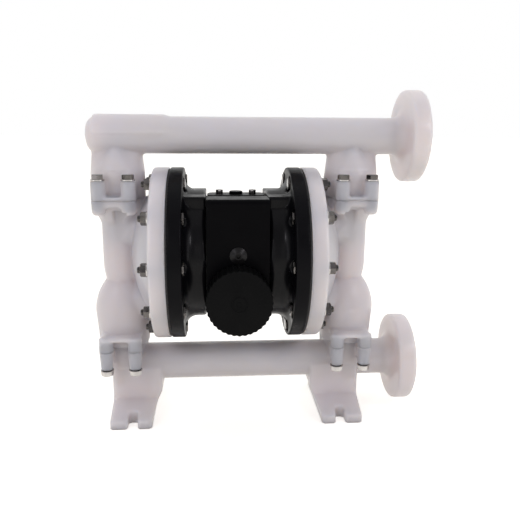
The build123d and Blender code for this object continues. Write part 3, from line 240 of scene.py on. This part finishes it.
milky_polypropylene, milky_shader = moulded_plastic(
    "milky_polypropylene",
    light=(0.69, 0.65, 0.70),
    dark=(0.68, 0.63, 0.605),
    gloss=(0.28, 0.34),
    cloud_scale=14,
    grain_scale=420,
    relief=(0.02, 0.0006),
)
milky_shader.inputs["Subsurface Weight"].default_value = 0.8
milky_shader.inputs["Subsurface Radius"].default_value = (1.0, 0.86, 0.72)
milky_shader.inputs["Subsurface Scale"].default_value = 0.045
milky_shader.inputs["IOR"].default_value = 1.49


FLANGE_BACK = 196.0 * MM
SHOULDER = (236.0 * MM, 270.0 * MM)  # heights where the column swells into its upper joint
SHOULDER_X = 0.105  # further out than this lies the column, nearer the bowl
EXTRA_SOFTENING = {
    "discharge_manifold": {"port": 12},
    "suction_manifold": {"port": 12},
    "fluid_chamber": {"shoulder": 16},
}
TOP_SEAM, LOW_SEAM, GROUND = 272.5 * MM, 92.5 * MM, 0.0
LIQUID_CLAMP, AIR_CLAMP = 79.2 * MM, 77.2 * MM


def applied(work):
    """The mesh of an object with its modifiers applied, after which the object is gone."""
    bpy.context.view_layer.update()
    depsgraph = bpy.context.evaluated_depsgraph_get()
    finished = bpy.data.meshes.new_from_object(work.evaluated_get(depsgraph))
    bpy.data.objects.remove(work)
    return finished


def soft_edged(node, voxel, passes, finish, seams=(), rims=()):
    """A copy of a CAD node with the small radii of a moulding, flat where it meets a neighbour.

    seams are heights and rims are distances from the middle plane at which the faces stay put.
    """
    rough = NODES[node].data.copy()
    source = bmesh.new()
    source.from_mesh(rough)
    bmesh.ops.remove_doubles(source, verts=source.verts, dist=0.01 * MM)
    source.to_mesh(rough)
    source.free()
    blank = bpy.data.objects.new(node + "_blank", rough)
    bpy.context.scene.collection.objects.link(blank)
    remesh = blank.modifiers.new("skin", "REMESH")
    remesh.mode = "VOXEL"
    remesh.voxel_size = voxel
    true_form = bpy.data.objects.new(node + "_form", rough)
    bpy.context.scene.collection.objects.link(true_form)
    seat = blank.modifiers.new("true_surface", "SHRINKWRAP")
    seat.target = true_form
    skinned = applied(blank)
    bpy.data.objects.remove(true_form)
    piece = bpy.data.objects.new(node + "_moulding", skinned)
    bpy.context.scene.collection.objects.link(piece)
    kept = 0.6 * voxel
    free = piece.vertex_groups.new(name="free")
    free.add(
        [
            vert.index
            for vert in skinned.vertices
            if all(abs(vert.co.z - seam) > kept for seam in seams)
            and all(abs(abs(vert.co.x) - rim) > kept for rim in rims)
        ],
        1.0,
        "REPLACE",
    )
    smooth = piece.modifiers.new("radii", "SMOOTH")
    smooth.vertex_group = "free"
    smooth.factor = 0.5
    smooth.iterations = passes
    port = piece.vertex_groups.new(name="port")
    port.add([vert.index for vert in skinned.vertices if vert.co.x > FLANGE_BACK], 1.0, "REPLACE")
    shoulder = piece.vertex_groups.new(name="shoulder")
    shoulder.add(
        [
            vert.index
            for vert in skinned.vertices
            if SHOULDER[0] < vert.co.z < SHOULDER[1] and abs(vert.co.x) > SHOULDER_X
        ],
        1.0,
        "REPLACE",
    )
    kind = node.rpartition("_")[0] if "chamber" in node else node
    for zone, extra in EXTRA_SOFTENING.get(kind, {}).items():
        rounded = piece.modifiers.new(zone + "_radii", "SMOOTH")
        rounded.vertex_group = zone
        rounded.factor = 0.5
        rounded.iterations = extra
    finished = applied(piece)
    finished.name = node + "_moulding"
    finished.materials.clear()
    finished.materials.append(finish)
    finished.polygons.foreach_set("use_smooth", [True] * len(finished.polygons))
    piece = bpy.data.objects.new(node + "_moulding", finished)
    bpy.context.scene.collection.objects.link(piece)
    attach(piece, "housing")
    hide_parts(node)
    return piece


COLUMN_X = 139.0 * MM
COLUMN_RADIUS = 21.6 * MM
ELBOW_Z = 234.0 * MM
ELBOW_RADIUS = 24.0 * MM
ELBOW_RUNOUT = 14.0 * MM


def fair_elbow(piece):
    """Lets the upper elbow of a liquid chamber run out smoothly into its column."""
    for vert in piece.data.vertices:
        before = COLUMN_X - abs(vert.co.x)
        if abs(vert.co.z - ELBOW_Z) > ELBOW_RADIUS + MM or not -3 * MM < before < ELBOW_RUNOUT:
            continue
        share = max(0.0, before / ELBOW_RUNOUT)
        share = share * share * (3 - 2 * share)
        limit = COLUMN_RADIUS + (ELBOW_RADIUS - COLUMN_RADIUS) * share
        across = math.hypot(vert.co.y, before) if share < 0.02 else abs(vert.co.y)
        if across > limit:
            vert.co.y *= limit / across


for node in ("discharge_manifold", "suction_manifold"):
    seams = (TOP_SEAM, LOW_SEAM, GROUND)
    manifold = soft_edged(node, SHELL_VOXEL, EDGE_SOFTENING, milky_polypropylene, seams)
for node in ("fluid_chamber_left", "fluid_chamber_right"):
    chamber = soft_edged(
        node,
        SHELL_VOXEL,
        EDGE_SOFTENING,
        milky_polypropylene,
        (TOP_SEAM, LOW_SEAM),
        (LIQUID_CLAMP,),
    )
    fair_elbow(chamber)

# ---------------------------------------------------------------- moulded black air parts
# The centre block, the two air bowls and the air valve are black filled plastic, moulded,
# with a fine sparked grain that shows soft grey highlights.
black_filled, black_shader = moulded_plastic(
    "black_filled_plastic",
    light=(0.0030, 0.0029, 0.0036),
    dark=(0.0012, 0.0012, 0.0016),
    gloss=(0.26, 0.42),
    cloud_scale=22,
    grain_scale=900,
    relief=(0.16, 0.0006),
)
black_shader.inputs["Specular IOR Level"].default_value = 0.035
bowl_black, bowl_shader = moulded_plastic(
    "bowl_black_plastic",
    light=(0.0040, 0.0040, 0.0052),
    dark=(0.0016, 0.0016, 0.0022),
    gloss=(0.24, 0.46),
    cloud_scale=30,
    grain_scale=800,
    relief=(0.2, 0.0008),
)
bowl_shader.inputs["Specular IOR Level"].default_value = 0.07
bowl_shader.inputs["Coat Roughness"].default_value = 0.2
bowl_nodes, bowl_links = bowl_black.node_tree.nodes, bowl_black.node_tree.links
bowl_place = bowl_nodes.new("ShaderNodeTexCoord")
bowl_axes = bowl_nodes.new("ShaderNodeSeparateXYZ")
from_middle = bowl_nodes.new("ShaderNodeMath")
from_middle.operation = "ABSOLUTE"
THROAT_END, RIM_START = 58.5 * MM, 61.5 * MM  # the throat is glossier than the rim
polish = bowl_nodes.new("ShaderNodeMapRange")
polish.inputs["From Min"].default_value = THROAT_END
polish.inputs["From Max"].default_value = RIM_START
polish.inputs["To Min"].default_value = 0.14
polish.inputs["To Max"].default_value = 0.0
bowl_links.new(bowl_place.outputs["Object"], bowl_axes.inputs[0])
bowl_links.new(bowl_axes.outputs["X"], from_middle.inputs[0])
bowl_links.new(from_middle.outputs[0], polish.inputs["Value"])
bowl_links.new(polish.outputs["Result"], bowl_shader.inputs["Coat Weight"])
exhaust_black, exhaust_shader = moulded_plastic(
    "exhaust_black_plastic",
    light=(0.0052, 0.0054, 0.0056),
    dark=(0.0026, 0.0027, 0.0029),
    gloss=(0.34, 0.52),
    cloud_scale=40,
    grain_scale=1100,
    relief=(0.2, 0.0005),
)
exhaust_shader.inputs["Specular IOR Level"].default_value = 0.05
BLACK_VOXELS = {
    "air_chamber_left": 1.3,
    "air_chamber_right": 1.3,
    "centre_block": 1.0,
    "air_valve_body": 0.7,
    "air_valve_end_cap_left": 0.5,
    "air_valve_end_cap_right": 0.5,
    "top_cover": 0.45,
    "top_cover_plug": 0.35,
}
for node, voxel in BLACK_VOXELS.items():
    finish = bowl_black if node.startswith("air_chamber") else black_filled
    soft_edged(node, voxel * MM, 3, finish, rims=(AIR_CLAMP,))


def finish_nodes(finish, *nodes):
    """Gives CAD nodes whose shape is already right their real finish."""
    for node in nodes:
        NODES[node].data.materials.clear()
        NODES[node].data.materials.append(finish)


plug_black, plug_shader = moulded_plastic(
    "plug_black_plastic",
    light=(0.009, 0.0085, 0.009),
    dark=(0.005, 0.0048, 0.005),
    gloss=(0.28, 0.40),
    cloud_scale=60,
    grain_scale=1200,
    relief=(0.1, 0.0004),
)
plug_shader.inputs["Specular IOR Level"].default_value = 0.2
finish_nodes(plug_black, "front_plug")
finish_nodes(exhaust_black, "muffler_body")


# ---------------------------------------------------------------- stainless fasteners
# Bolts, nuts, washers and screws are cold headed stainless steel with rolled threads. Most of them
# get a stainless whose base colour is darkened with painted shade; the washers, cover screws and
# suction bolts keep the plain tone.
M8_FLATS = 13.0 * MM
M8_RADIUS = 4.0 * MM
M8_CORE = 3.35 * MM
M8_PITCH = 1.25 * MM
HEAD_HEIGHT = 5.3 * MM
HEX_ROUND = 48  # points around a hexagon, eight to a side
SHARP_ANGLE = math.radians(34)  # faces that meet more steeply keep a crisp edge


def stainless_steel(name, light, dark, gloss_range):
    """Stainless: slightly warm, with fine drawing marks and finger-dull patches."""
    made = bpy.data.materials.new(name)
    made.use_nodes = True
    nodes, links = made.node_tree.nodes, made.node_tree.links
    shader = nodes["Principled BSDF"]
    shader.inputs["Metallic"].default_value = 1.0
    place = nodes.new("ShaderNodeTexCoord")
    patches, scratches = nodes.new("ShaderNodeTexNoise"), nodes.new("ShaderNodeTexNoise")
    patches.inputs["Scale"].default_value = 180
    scratches.inputs["Scale"].default_value = 2600
    scratches.inputs["Detail"].default_value = 1
    for noise in (patches, scratches):
        links.new(place.outputs["Object"], noise.inputs["Vector"])
    tones = nodes.new("ShaderNodeMix")
    tones.data_type = "RGBA"
    tones.inputs["A"].default_value = (*dark, 1)
    tones.inputs["B"].default_value = (*light, 1)
    links.new(patches.outputs["Fac"], tones.inputs["Factor"])
    links.new(tones.outputs["Result"], shader.inputs["Base Color"])
    gloss = nodes.new("ShaderNodeMapRange")
    gloss.inputs["To Min"].default_value = gloss_range[0]
    gloss.inputs["To Max"].default_value = gloss_range[1]
    links.new(patches.outputs["Fac"], gloss.inputs["Value"])
    links.new(gloss.outputs["Result"], shader.inputs["Roughness"])
    marks = nodes.new("ShaderNodeBump")
    marks.inputs["Strength"].default_value = 0.15
    marks.inputs["Distance"].default_value = 0.0002
    links.new(scratches.outputs["Fac"], marks.inputs["Height"])
    links.new(marks.outputs["Normal"], shader.inputs["Normal"])
    return made


# Painted shade: this stainless has a base colour far darker than real steel, standing in for the
# dim surroundings that its bolts and nuts mirror.
shade_darkened_stainless = stainless_steel(
    "stainless_steel", (0.19, 0.18, 0.172), (0.06, 0.055, 0.053), (0.08, 0.2)
)
washer_steel = stainless_steel(
    "washer_steel", (0.62, 0.60, 0.585), (0.40, 0.385, 0.37), (0.12, 0.24)
)


def ring_stack(rings, points):
    """A closed turned body along +Z from (radius, height) rings, with pole fans where it ends."""
    body = bmesh.new()
    verts = [body.verts.new((radius, 0, height)) for radius, height in rings]
    edges = [body.edges.new(pair) for pair in zip(verts, verts[1:])]
    bmesh.ops.spin(
        body,
        geom=verts + edges,
        cent=(0, 0, 0),
        axis=(0, 0, 1),
        angle=math.tau,
        steps=points,
        use_merge=True,
    )
    bmesh.ops.remove_doubles(body, verts=body.verts, dist=0.002 * MM)
    bmesh.ops.recalc_face_normals(body, faces=body.faces)
    return body


def cut_hexagon(body, flats, top, cone_flats):
    """Presses a turned body to a hexagon whose top corners are chamfered at 30 degrees."""
    for vert in body.verts:
        radius = math.hypot(vert.co.x, vert.co.y)
        if radius < flats * 0.42:
            continue
        bearing = math.atan2(vert.co.y, vert.co.x)
        side = (bearing + math.pi / 6) % (math.pi / 3) - math.pi / 6
        chamfer = cone_flats / 2 + (top - vert.co.z) / math.tan(math.pi / 6)
        limit = min(flats / 2 / math.cos(side), chamfer)
        if radius > limit:
            vert.co.x *= limit / radius
            vert.co.y *= limit / radius
    return body


def hexagon(flats, height, hole=0.0, washer_face=0.3 * MM):
    """A hexagon head (hole 0) or nut, its lower face on z = 0."""
    wide = flats / 2 / math.cos(math.pi / 6)
    drops = (0.62, 0.46, 0.3, 0.16, 0.0)
    heights = [washer_face, height * 0.5, *(height - drop * MM for drop in drops)]
    foot = flats * 0.48
    outer = [(foot, 0), (foot, washer_face), *((wide, z) for z in heights)]
    top_rim = flats / 2 * 0.95
    if hole:
        rings = [(hole, 0.5 * MM), (hole + 0.4 * MM, 0), *outer, (top_rim, height)]
        rings += [(hole + 0.5 * MM, height), (hole, height - 0.5 * MM), (hole, 0.5 * MM)]
    else:
        rings = [(0, 0), *outer, (top_rim, height), (top_rim * 0.6, height + 0.12 * MM)]
        rings += [(0, height + 0.15 * MM)]
    return cut_hexagon(ring_stack(rings, HEX_ROUND), flats, height, flats * 0.97)


def thread(start, length, radius=M8_RADIUS, core=M8_CORE, pitch=M8_PITCH, steps=20):
    """One rolled thread as a helical ridge round a core that ends in a chamfer."""
    chamfer = [(core, length - 0.6 * MM), (core - 0.5 * MM, length)]
    body = ring_stack([(0, start), (core, start), *chamfer, (0, length)], 32)
    ridge = bmesh.new()
    half = pitch * 0.42
    root, crest = core - 0.1 * MM, pitch * 0.08
    profile = [(root, -half), (radius, -crest), (radius, crest), (root, half)]
    verts = [ridge.verts.new((r, 0, start + half + z)) for r, z in profile]
    face = ridge.faces.new(verts)
    turns = (length - 0.5 * MM - start - 2 * half) / pitch
    bmesh.ops.spin(
        ridge,
        geom=[face],
        cent=(0, 0, 0),
        axis=(0, 0, 1),
        dvec=(0, 0, pitch / steps),
        angle=math.tau * turns,
        steps=int(steps * turns),
        use_merge=False,
    )
    bmesh.ops.recalc_face_normals(ridge, faces=ridge.faces)
    return joined(body, ridge)


def joined(*bodies):
    """Several bmesh bodies as one."""
    whole = bmesh.new()
    for body in bodies:
        scrap = bpy.data.meshes.new("scrap")
        body.to_mesh(scrap)
        body.free()
        whole.from_mesh(scrap)
        bpy.data.meshes.remove(scrap)
    return whole


def placed(body, name, spots, finish, nodes, rides="housing"):
    """Copies one body to each spot (place, direction, turn), as the piece that stands for nodes."""
    master = bpy.data.meshes.new("master")
    body.to_mesh(master)
    body.free()
    every = bmesh.new()
    for place, direction, turn in spots:
        before = len(every.verts)
        every.from_mesh(master)
        every.verts.ensure_lookup_table()
        upright = Vector(direction).to_track_quat("Z", "Y").to_matrix().to_4x4()
        pose = Matrix.Translation(place) @ upright @ Matrix.Rotation(turn, 4, "Z")
        bmesh.ops.transform(every, matrix=pose, verts=every.verts[before:])
    bpy.data.meshes.remove(master)
    data = bpy.data.meshes.new(name)
    every.to_mesh(data)
    every.free()
    data.materials.append(finish)
    data.polygons.foreach_set("use_smooth", [True] * len(data.polygons))
    data.set_sharp_from_angle(angle=SHARP_ANGLE)
    piece = bpy.data.objects.new(name, data)
    bpy.context.scene.collection.objects.link(piece)
    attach(piece, rides)
    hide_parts(*nodes)
    return piece


def plain_washer(thickness):
    """An M8 washer with broken edges, standing on z = 0."""
    return ring_stack(
        [
            (4.2 * MM, 0.15 * MM),
            (4.35 * MM, 0),
            (7.8 * MM, 0),
            (8 * MM, 0.2 * MM),
            (8 * MM, thickness - 0.25 * MM),
            (7.75 * MM, thickness),
            (4.35 * MM, thickness),
            (4.2 * MM, thickness - 0.15 * MM),
            (4.2 * MM, 0.15 * MM),
        ],
        40,
    )


# ---------------------------------------------------------------- rim bolts
# Ten M8 bolts clamp each diaphragm: heads in the pockets of the black rim, washer and nut on the
# white rim, and the thread standing a few turns proud of the nut.
SHAFT_Z = (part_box("connecting_rod")[0].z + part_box("connecting_rod")[1].z) / 2
RIM_BOLTS = 10
RIM_BOLT_RADIUS = 90.0 * MM
RIM_THREAD = 16 * MM
RIM_TURNS = (7, 31, 12, 48, 22, 3, 40, 17, 55, 28)  # degrees that each nut stopped at


def rim_spots(x, direction, step=0):
    """The ten bolt places of one rim, each nut or head stopped at its own angle."""
    return [
        (
            Vector((
                x,
                -RIM_BOLT_RADIUS * math.cos(math.tau * i / RIM_BOLTS),
                SHAFT_Z + RIM_BOLT_RADIUS * math.sin(math.tau * i / RIM_BOLTS),
            )),
            (direction, 0, 0),
            math.radians(RIM_TURNS[(i + step) % RIM_BOLTS]),
        )
        for i in range(RIM_BOLTS)
    ]


for side, hand in (("left", -1), ("right", 1)):
    low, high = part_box(f"chamber_bolts_{side}")
    tip, back = (low.x, high.x) if hand < 0 else (high.x, low.x)
    nut_low, nut_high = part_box(f"chamber_nuts_{side}")
    nut_face = nut_high.x if hand < 0 else nut_low.x
    washer_low, washer_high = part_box(f"chamber_washers_{side}")
    washer_face = washer_high.x if hand < 0 else washer_low.x
    length = abs(tip - back) - HEAD_HEIGHT
    shank_end, core_start = length - RIM_THREAD, length - RIM_THREAD + 0.5 * MM
    shank = ring_stack(
        [(0, 0), (M8_RADIUS, 0), (M8_RADIUS, shank_end), (M8_CORE, core_start), (0, core_start)],
        32,
    )
    head_body = hexagon(M8_FLATS, HEAD_HEIGHT)
    bmesh.ops.transform(head_body, matrix=Matrix.Rotation(math.pi, 4, "X"), verts=head_body.verts)
    placed(
        joined(head_body, shank, thread(shank_end, length)),
        f"rim_bolts_{side}",
        rim_spots(back + hand * HEAD_HEIGHT, hand),
        shade_darkened_stainless,
        [f"chamber_bolts_{side}"],
    )
    placed(
        hexagon(M8_FLATS, nut_high.x - nut_low.x, hole=M8_RADIUS),
        f"rim_nuts_{side}",
        rim_spots(nut_face, hand, 4),
        shade_darkened_stainless,
        [f"chamber_nuts_{side}"],
    )
    placed(
        plain_washer(washer_high.x - washer_low.x),
        f"rim_washers_{side}",
        rim_spots(washer_face, hand),
        washer_steel,
        [f"chamber_washers_{side}"],
    )

# ---------------------------------------------------------------- manifold bolts
# Four M8 bolts hold each manifold joint: from above with washers at the discharge, and flanged
# bolts from below at the suction.
JOINT_X, JOINT_Y = 16.8 * MM, 40.1 * MM
JOINT_FLATS = 12.0 * MM
FLANGED_HEIGHT = 6.7 * MM
JOINT_TURNS = (11, 37, 52, 24, 5, 44, 30, 18)


def joint_spots(z, direction):
    """The eight bolt places of one manifold."""
    corners = [
        (side * COLUMN_X + dx, dy)
        for side in (-1, 1)
        for dx in (-JOINT_X, JOINT_X)
        for dy in (-JOINT_Y, JOINT_Y)
    ]
    return [
        (Vector((x, y, z)), (0, 0, direction), math.radians(turn))
        for (x, y), turn in zip(corners, JOINT_TURNS)
    ]


def joint_shank(top):
    """The plain part of a joint bolt, from its chamfered end up to the given height."""
    end = -36 * MM
    rings = [(0, end), (3.6 * MM, end), (M8_RADIUS, -35.4 * MM), (M8_RADIUS, top), (0, top)]
    return ring_stack(rings, 32)


washers_low, washers_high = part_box("discharge_joint_washers")
placed(
    joined(hexagon(JOINT_FLATS, HEAD_HEIGHT), joint_shank(0)),
    "discharge_bolts",
    joint_spots(washers_high.z, 1),
    shade_darkened_stainless,
    ["discharge_joint_bolts"],
)
placed(
    plain_washer(washers_high.z - washers_low.z),
    "discharge_washers",
    joint_spots(washers_low.z, 1),
    washer_steel,
    ["discharge_joint_washers"],
)
low_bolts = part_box("suction_joint_bolts")
bolt_flange = ring_stack(
    [
        (0, 0),
        (7.8 * MM, 0),
        (8 * MM, 0.25 * MM),
        (7.9 * MM, 0.8 * MM),
        (6.9 * MM, 1.5 * MM),
        (0, 1.5 * MM),
    ],
    48,
)
placed(
    joined(bolt_flange, hexagon(M8_FLATS, FLANGED_HEIGHT), joint_shank(0.1 * MM)),
    "suction_bolts",
    joint_spots(low_bolts[0].z + FLANGED_HEIGHT, -1),
    washer_steel,
    ["suction_joint_bolts"],
)

# ---------------------------------------------------------------- socket head screws
# Cap screws hold the top cover, the air valve and its end caps. They are cold headed stainless
# steel with a knurled side and a broached six-sided socket.
KNURL_DEPTH = 0.965  # share of the head's radius left in a groove


def cap_screw(head_r, head_h, key, shank_r, shank_l, knurls=36):
    """A cap screw, its head standing on z = 0 with a six-sided socket and a knurled side."""
    socket_r = key / 2 / math.cos(math.pi / 6)
    body = ring_stack(
        [
            (0, -shank_l),
            (shank_r * 0.85, -shank_l),
            (shank_r, -shank_l + 0.4 * MM),
            (shank_r, 0),
            (head_r * 0.96, 0),
            (head_r, 0.2 * MM),
            (head_r, head_h * 0.8),
            (head_r * 0.94, head_h),
            (socket_r + 0.25 * MM, head_h),
            (socket_r, head_h - 0.2 * MM),
            (socket_r, head_h * 0.45),
            (0, head_h * 0.38),
        ],
        knurls * 2,
    )
    for vert in body.verts:
        radius = math.hypot(vert.co.x, vert.co.y)
        bearing = math.atan2(vert.co.y, vert.co.x)
        if abs(radius - head_r) < 0.01 * MM and round(bearing / (math.pi / knurls)) % 2:
            vert.co.x *= KNURL_DEPTH
            vert.co.y *= KNURL_DEPTH
        elif abs(radius - socket_r) < 0.01 * MM and vert.co.z > 0:
            side = (bearing + math.pi / 6) % (math.pi / 3) - math.pi / 6
            vert.co.x *= math.cos(math.pi / 6) / math.cos(side)
            vert.co.y *= math.cos(math.pi / 6) / math.cos(side)
    return body


cover_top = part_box("top_cover")[1].z
cover_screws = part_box("top_cover_screws")
COVER_SCREW_X = 19.8 * MM
cover_head, cover_shank = cover_screws[1].z - cover_top, cover_top - cover_screws[0].z
placed(
    cap_screw(4.25 * MM, cover_head, 4 * MM, 2.5 * MM, cover_shank),
    "cover_screws",
    [
        (Vector((x, 0, cover_top)), (0, 0, 1), math.radians(turn))
        for x, turn in ((-COVER_SCREW_X, 9), (COVER_SCREW_X, 41))
    ],
    washer_steel,
    ["top_cover_screws"],
)
valve_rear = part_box("air_valve_body")[1].y
valve_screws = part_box("air_valve_screws")
valve_head, valve_shank = valve_screws[1].y - valve_rear, valve_rear - valve_screws[0].y
placed(
    cap_screw(5 * MM, valve_head, 5 * MM, 3 * MM, valve_shank),
    "valve_screws",
    [
        (Vector((x, valve_rear, SHAFT_Z + z)), (0, 1, 0), math.radians(13 + x / MM))
        for x in (-19 * MM, 19 * MM)
        for z in (-34 * MM, 29 * MM)
    ],
    shade_darkened_stainless,
    ["air_valve_screws"],
)
spool_y = (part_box("valve_spool")[0].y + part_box("valve_spool")[1].y) / 2
cap_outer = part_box("air_valve_end_cap_right")[1].x
end_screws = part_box("end_cap_screws")
placed(
    cap_screw(3.5 * MM, end_screws[1].x - cap_outer, 3 * MM, 2 * MM, 14 * MM, knurls=28),
    "end_cap_cap_screws",
    [
        (
            Vector((hand * cap_outer, spool_y + y, SHAFT_Z + z)),
            (hand, 0, 0),
            math.radians(20 + y / MM),
        )
        for hand in (-1, 1)
        for y in (-13 * MM, 13 * MM)
        for z in (-13 * MM, 13 * MM)
    ],
    shade_darkened_stainless,
    ["end_cap_screws"],
)
finish_nodes(shade_darkened_stainless, "air_chamber_screws")


# ---------------------------------------------------------------- inner pieces
# Rubber diaphragms, gaskets, seals and seat rings; turned seats, balls and bushes; brass inserts;
# aluminium plates and spool; ground steel rods; a pressed porous silencing ring.
def turned(name, light, dark, gloss, metal, scale):
    """A turned or pressed material with two close tones and a broken gloss."""
    made = bpy.data.materials.new(name)
    made.use_nodes = True
    nodes, links = made.node_tree.nodes, made.node_tree.links
    shader = nodes["Principled BSDF"]
    shader.inputs["Metallic"].default_value = metal
    place = nodes.new("ShaderNodeTexCoord")
    noise = nodes.new("ShaderNodeTexNoise")
    noise.inputs["Scale"].default_value = scale
    noise.inputs["Detail"].default_value = 4
    links.new(place.outputs["Object"], noise.inputs["Vector"])
    tones = nodes.new("ShaderNodeMix")
    tones.data_type = "RGBA"
    tones.inputs["A"].default_value = (*dark, 1)
    tones.inputs["B"].default_value = (*light, 1)
    links.new(noise.outputs["Fac"], tones.inputs["Factor"])
    links.new(tones.outputs["Result"], shader.inputs["Base Color"])
    spread = nodes.new("ShaderNodeMapRange")
    spread.inputs["To Min"].default_value = gloss[0]
    spread.inputs["To Max"].default_value = gloss[1]
    links.new(noise.outputs["Fac"], spread.inputs["Value"])
    links.new(spread.outputs["Result"], shader.inputs["Roughness"])
    fine = nodes.new("ShaderNodeBump")
    fine.inputs["Strength"].default_value = 0.12
    fine.inputs["Distance"].default_value = 0.0003
    links.new(noise.outputs["Fac"], fine.inputs["Height"])
    links.new(fine.outputs["Normal"], shader.inputs["Normal"])
    return made


INNER_FINISHES = {  # slot: name, light tone, dark tone, gloss range, metal, grain scale
    "rubber": ("black_rubber", (0.022,) * 3, (0.012,) * 3, (0.55, 0.75), 0, 700),
    "ball": ("white_ball", (0.82, 0.81, 0.79), (0.76, 0.75, 0.72), (0.25, 0.35), 0, 60),
    "seat_plastic": ("seat_plastic", (0.74, 0.72, 0.69), (0.66, 0.64, 0.60), (0.35, 0.5), 0, 90),
    "brass": ("turned_brass", (0.78, 0.60, 0.30), (0.62, 0.45, 0.2), (0.2, 0.35), 1, 300),
    "polished_steel": (
        "ground_steel", (0.68, 0.68, 0.69), (0.55, 0.55, 0.56), (0.08, 0.16), 1, 500
    ),
    "aluminium": ("turned_aluminium", (0.74, 0.74, 0.76), (0.62, 0.62, 0.64), (0.25, 0.4), 1, 400),
    "felt": ("porous_ring", (0.66, 0.63, 0.57), (0.5, 0.47, 0.42), (0.85, 0.95), 0, 1500),
}
INNER = {slot: turned(*values) for slot, values in INNER_FINISHES.items()}
for subpart in frame["record"]["subparts"]:
    finish = INNER.get(subpart["material_slot"])
    if finish:
        finish_nodes(finish, subpart["node"])

# ---------------------------------------------------------------- muffler front
# The muffler's front is a moulded disc pressed into the ribbed body: the ribs run on round its
# edge, a shallow ring and the gate mark stand at its middle.
MUFFLER_RIBS = 36
RIB_DEPTH = 0.9 * MM
cap_low, cap_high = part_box("muffler_cap")
cap_radius = (cap_high.x - cap_low.x) / 2
cap_depth = cap_high.y - cap_low.y
cap_z = (cap_low.z + cap_high.z) / 2
disc = ring_stack(
    [
        (0, 0),
        (cap_radius - 0.6 * MM, 0),
        (cap_radius, 0.5 * MM),
        (cap_radius, cap_depth - 0.9 * MM),
        (cap_radius - 0.35 * MM, cap_depth - 0.25 * MM),
        (cap_radius - 1.3 * MM, cap_depth),
        (9.2 * MM, cap_depth),
        (8.9 * MM, cap_depth - 0.35 * MM),
        (7.7 * MM, cap_depth - 0.35 * MM),
        (7.4 * MM, cap_depth),
        (3.0 * MM, cap_depth),
        (2.5 * MM, cap_depth - 0.3 * MM),
        (2.0 * MM, cap_depth - 0.05 * MM),
        (0, cap_depth - 0.05 * MM),
    ],
    MUFFLER_RIBS * 8,
)
for vert in disc.verts:
    radius = math.hypot(vert.co.x, vert.co.y)
    if radius > cap_radius - 1.5 * MM:
        rib = 0.5 + 0.5 * math.cos(MUFFLER_RIBS * math.atan2(vert.co.y, vert.co.x))
        shrink = 1 - RIB_DEPTH * (1 - rib) ** 1.5 / cap_radius
        vert.co.x *= shrink
        vert.co.y *= shrink
placed(
    disc,
    "muffler_front",
    [(Vector((0, cap_high.y, cap_z)), (0, -1, 0), 0.0)],
    exhaust_black,
    ["muffler_cap"],
)

# ---------------------------------------------------------------- diaphragms
# Each rubber diaphragm is clamped at its rim and bolted between its plates at the middle, and its
# rolled wave bends as the shaft strokes. It is parted into sectors like a cake; the sectors are
# only cut and closed here, and none of them is bent.
SECTORS = 12


def diaphragm_sector(node, number):
    """One closed sector of a diaphragm, and the way outwards along its middle."""
    sector = bmesh.new()
    sector.from_mesh(NODES[node].data)
    bmesh.ops.remove_doubles(sector, verts=sector.verts, dist=0.005 * MM)
    middle = 2 * math.pi * number / SECTORS
    for turn in (-1, 1):
        border = middle + turn * math.pi / SECTORS
        inside = Vector((0, turn * math.sin(border), -turn * math.cos(border)))
        cut = bmesh.ops.bisect_plane(
            sector,
            geom=sector.verts[:] + sector.edges[:] + sector.faces[:],
            dist=0.0005 * MM,
            plane_co=(0, 0, SHAFT_Z),
            plane_no=inside,
            clear_inner=True,
        )
        edges = [part for part in cut["geom_cut"] if isinstance(part, bmesh.types.BMEdge)]
        opened = [edge for edge in edges if edge.is_boundary]
        bmesh.ops.triangle_fill(sector, edges=opened, use_beauty=True)
    bmesh.ops.recalc_face_normals(sector, faces=sector.faces)
    flexible = bpy.data.meshes.new(f"{node}_sector_{number}")
    sector.to_mesh(flexible)
    sector.free()
    flexible.materials.append(INNER["rubber"])
    flexible.polygons.foreach_set("use_smooth", [True] * len(flexible.polygons))
    flexible.set_sharp_from_angle(angle=SHARP_ANGLE)
    piece = bpy.data.objects.new(flexible.name, flexible)
    bpy.context.scene.collection.objects.link(piece)
    return piece, Vector((0, math.cos(middle), math.sin(middle)))


for node, hand in (("diaphragm_left", -1), ("diaphragm_right", 1)):
    for number in range(SECTORS):
        piece, outwards = diaphragm_sector(node, number)
        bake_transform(piece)
        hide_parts(node)
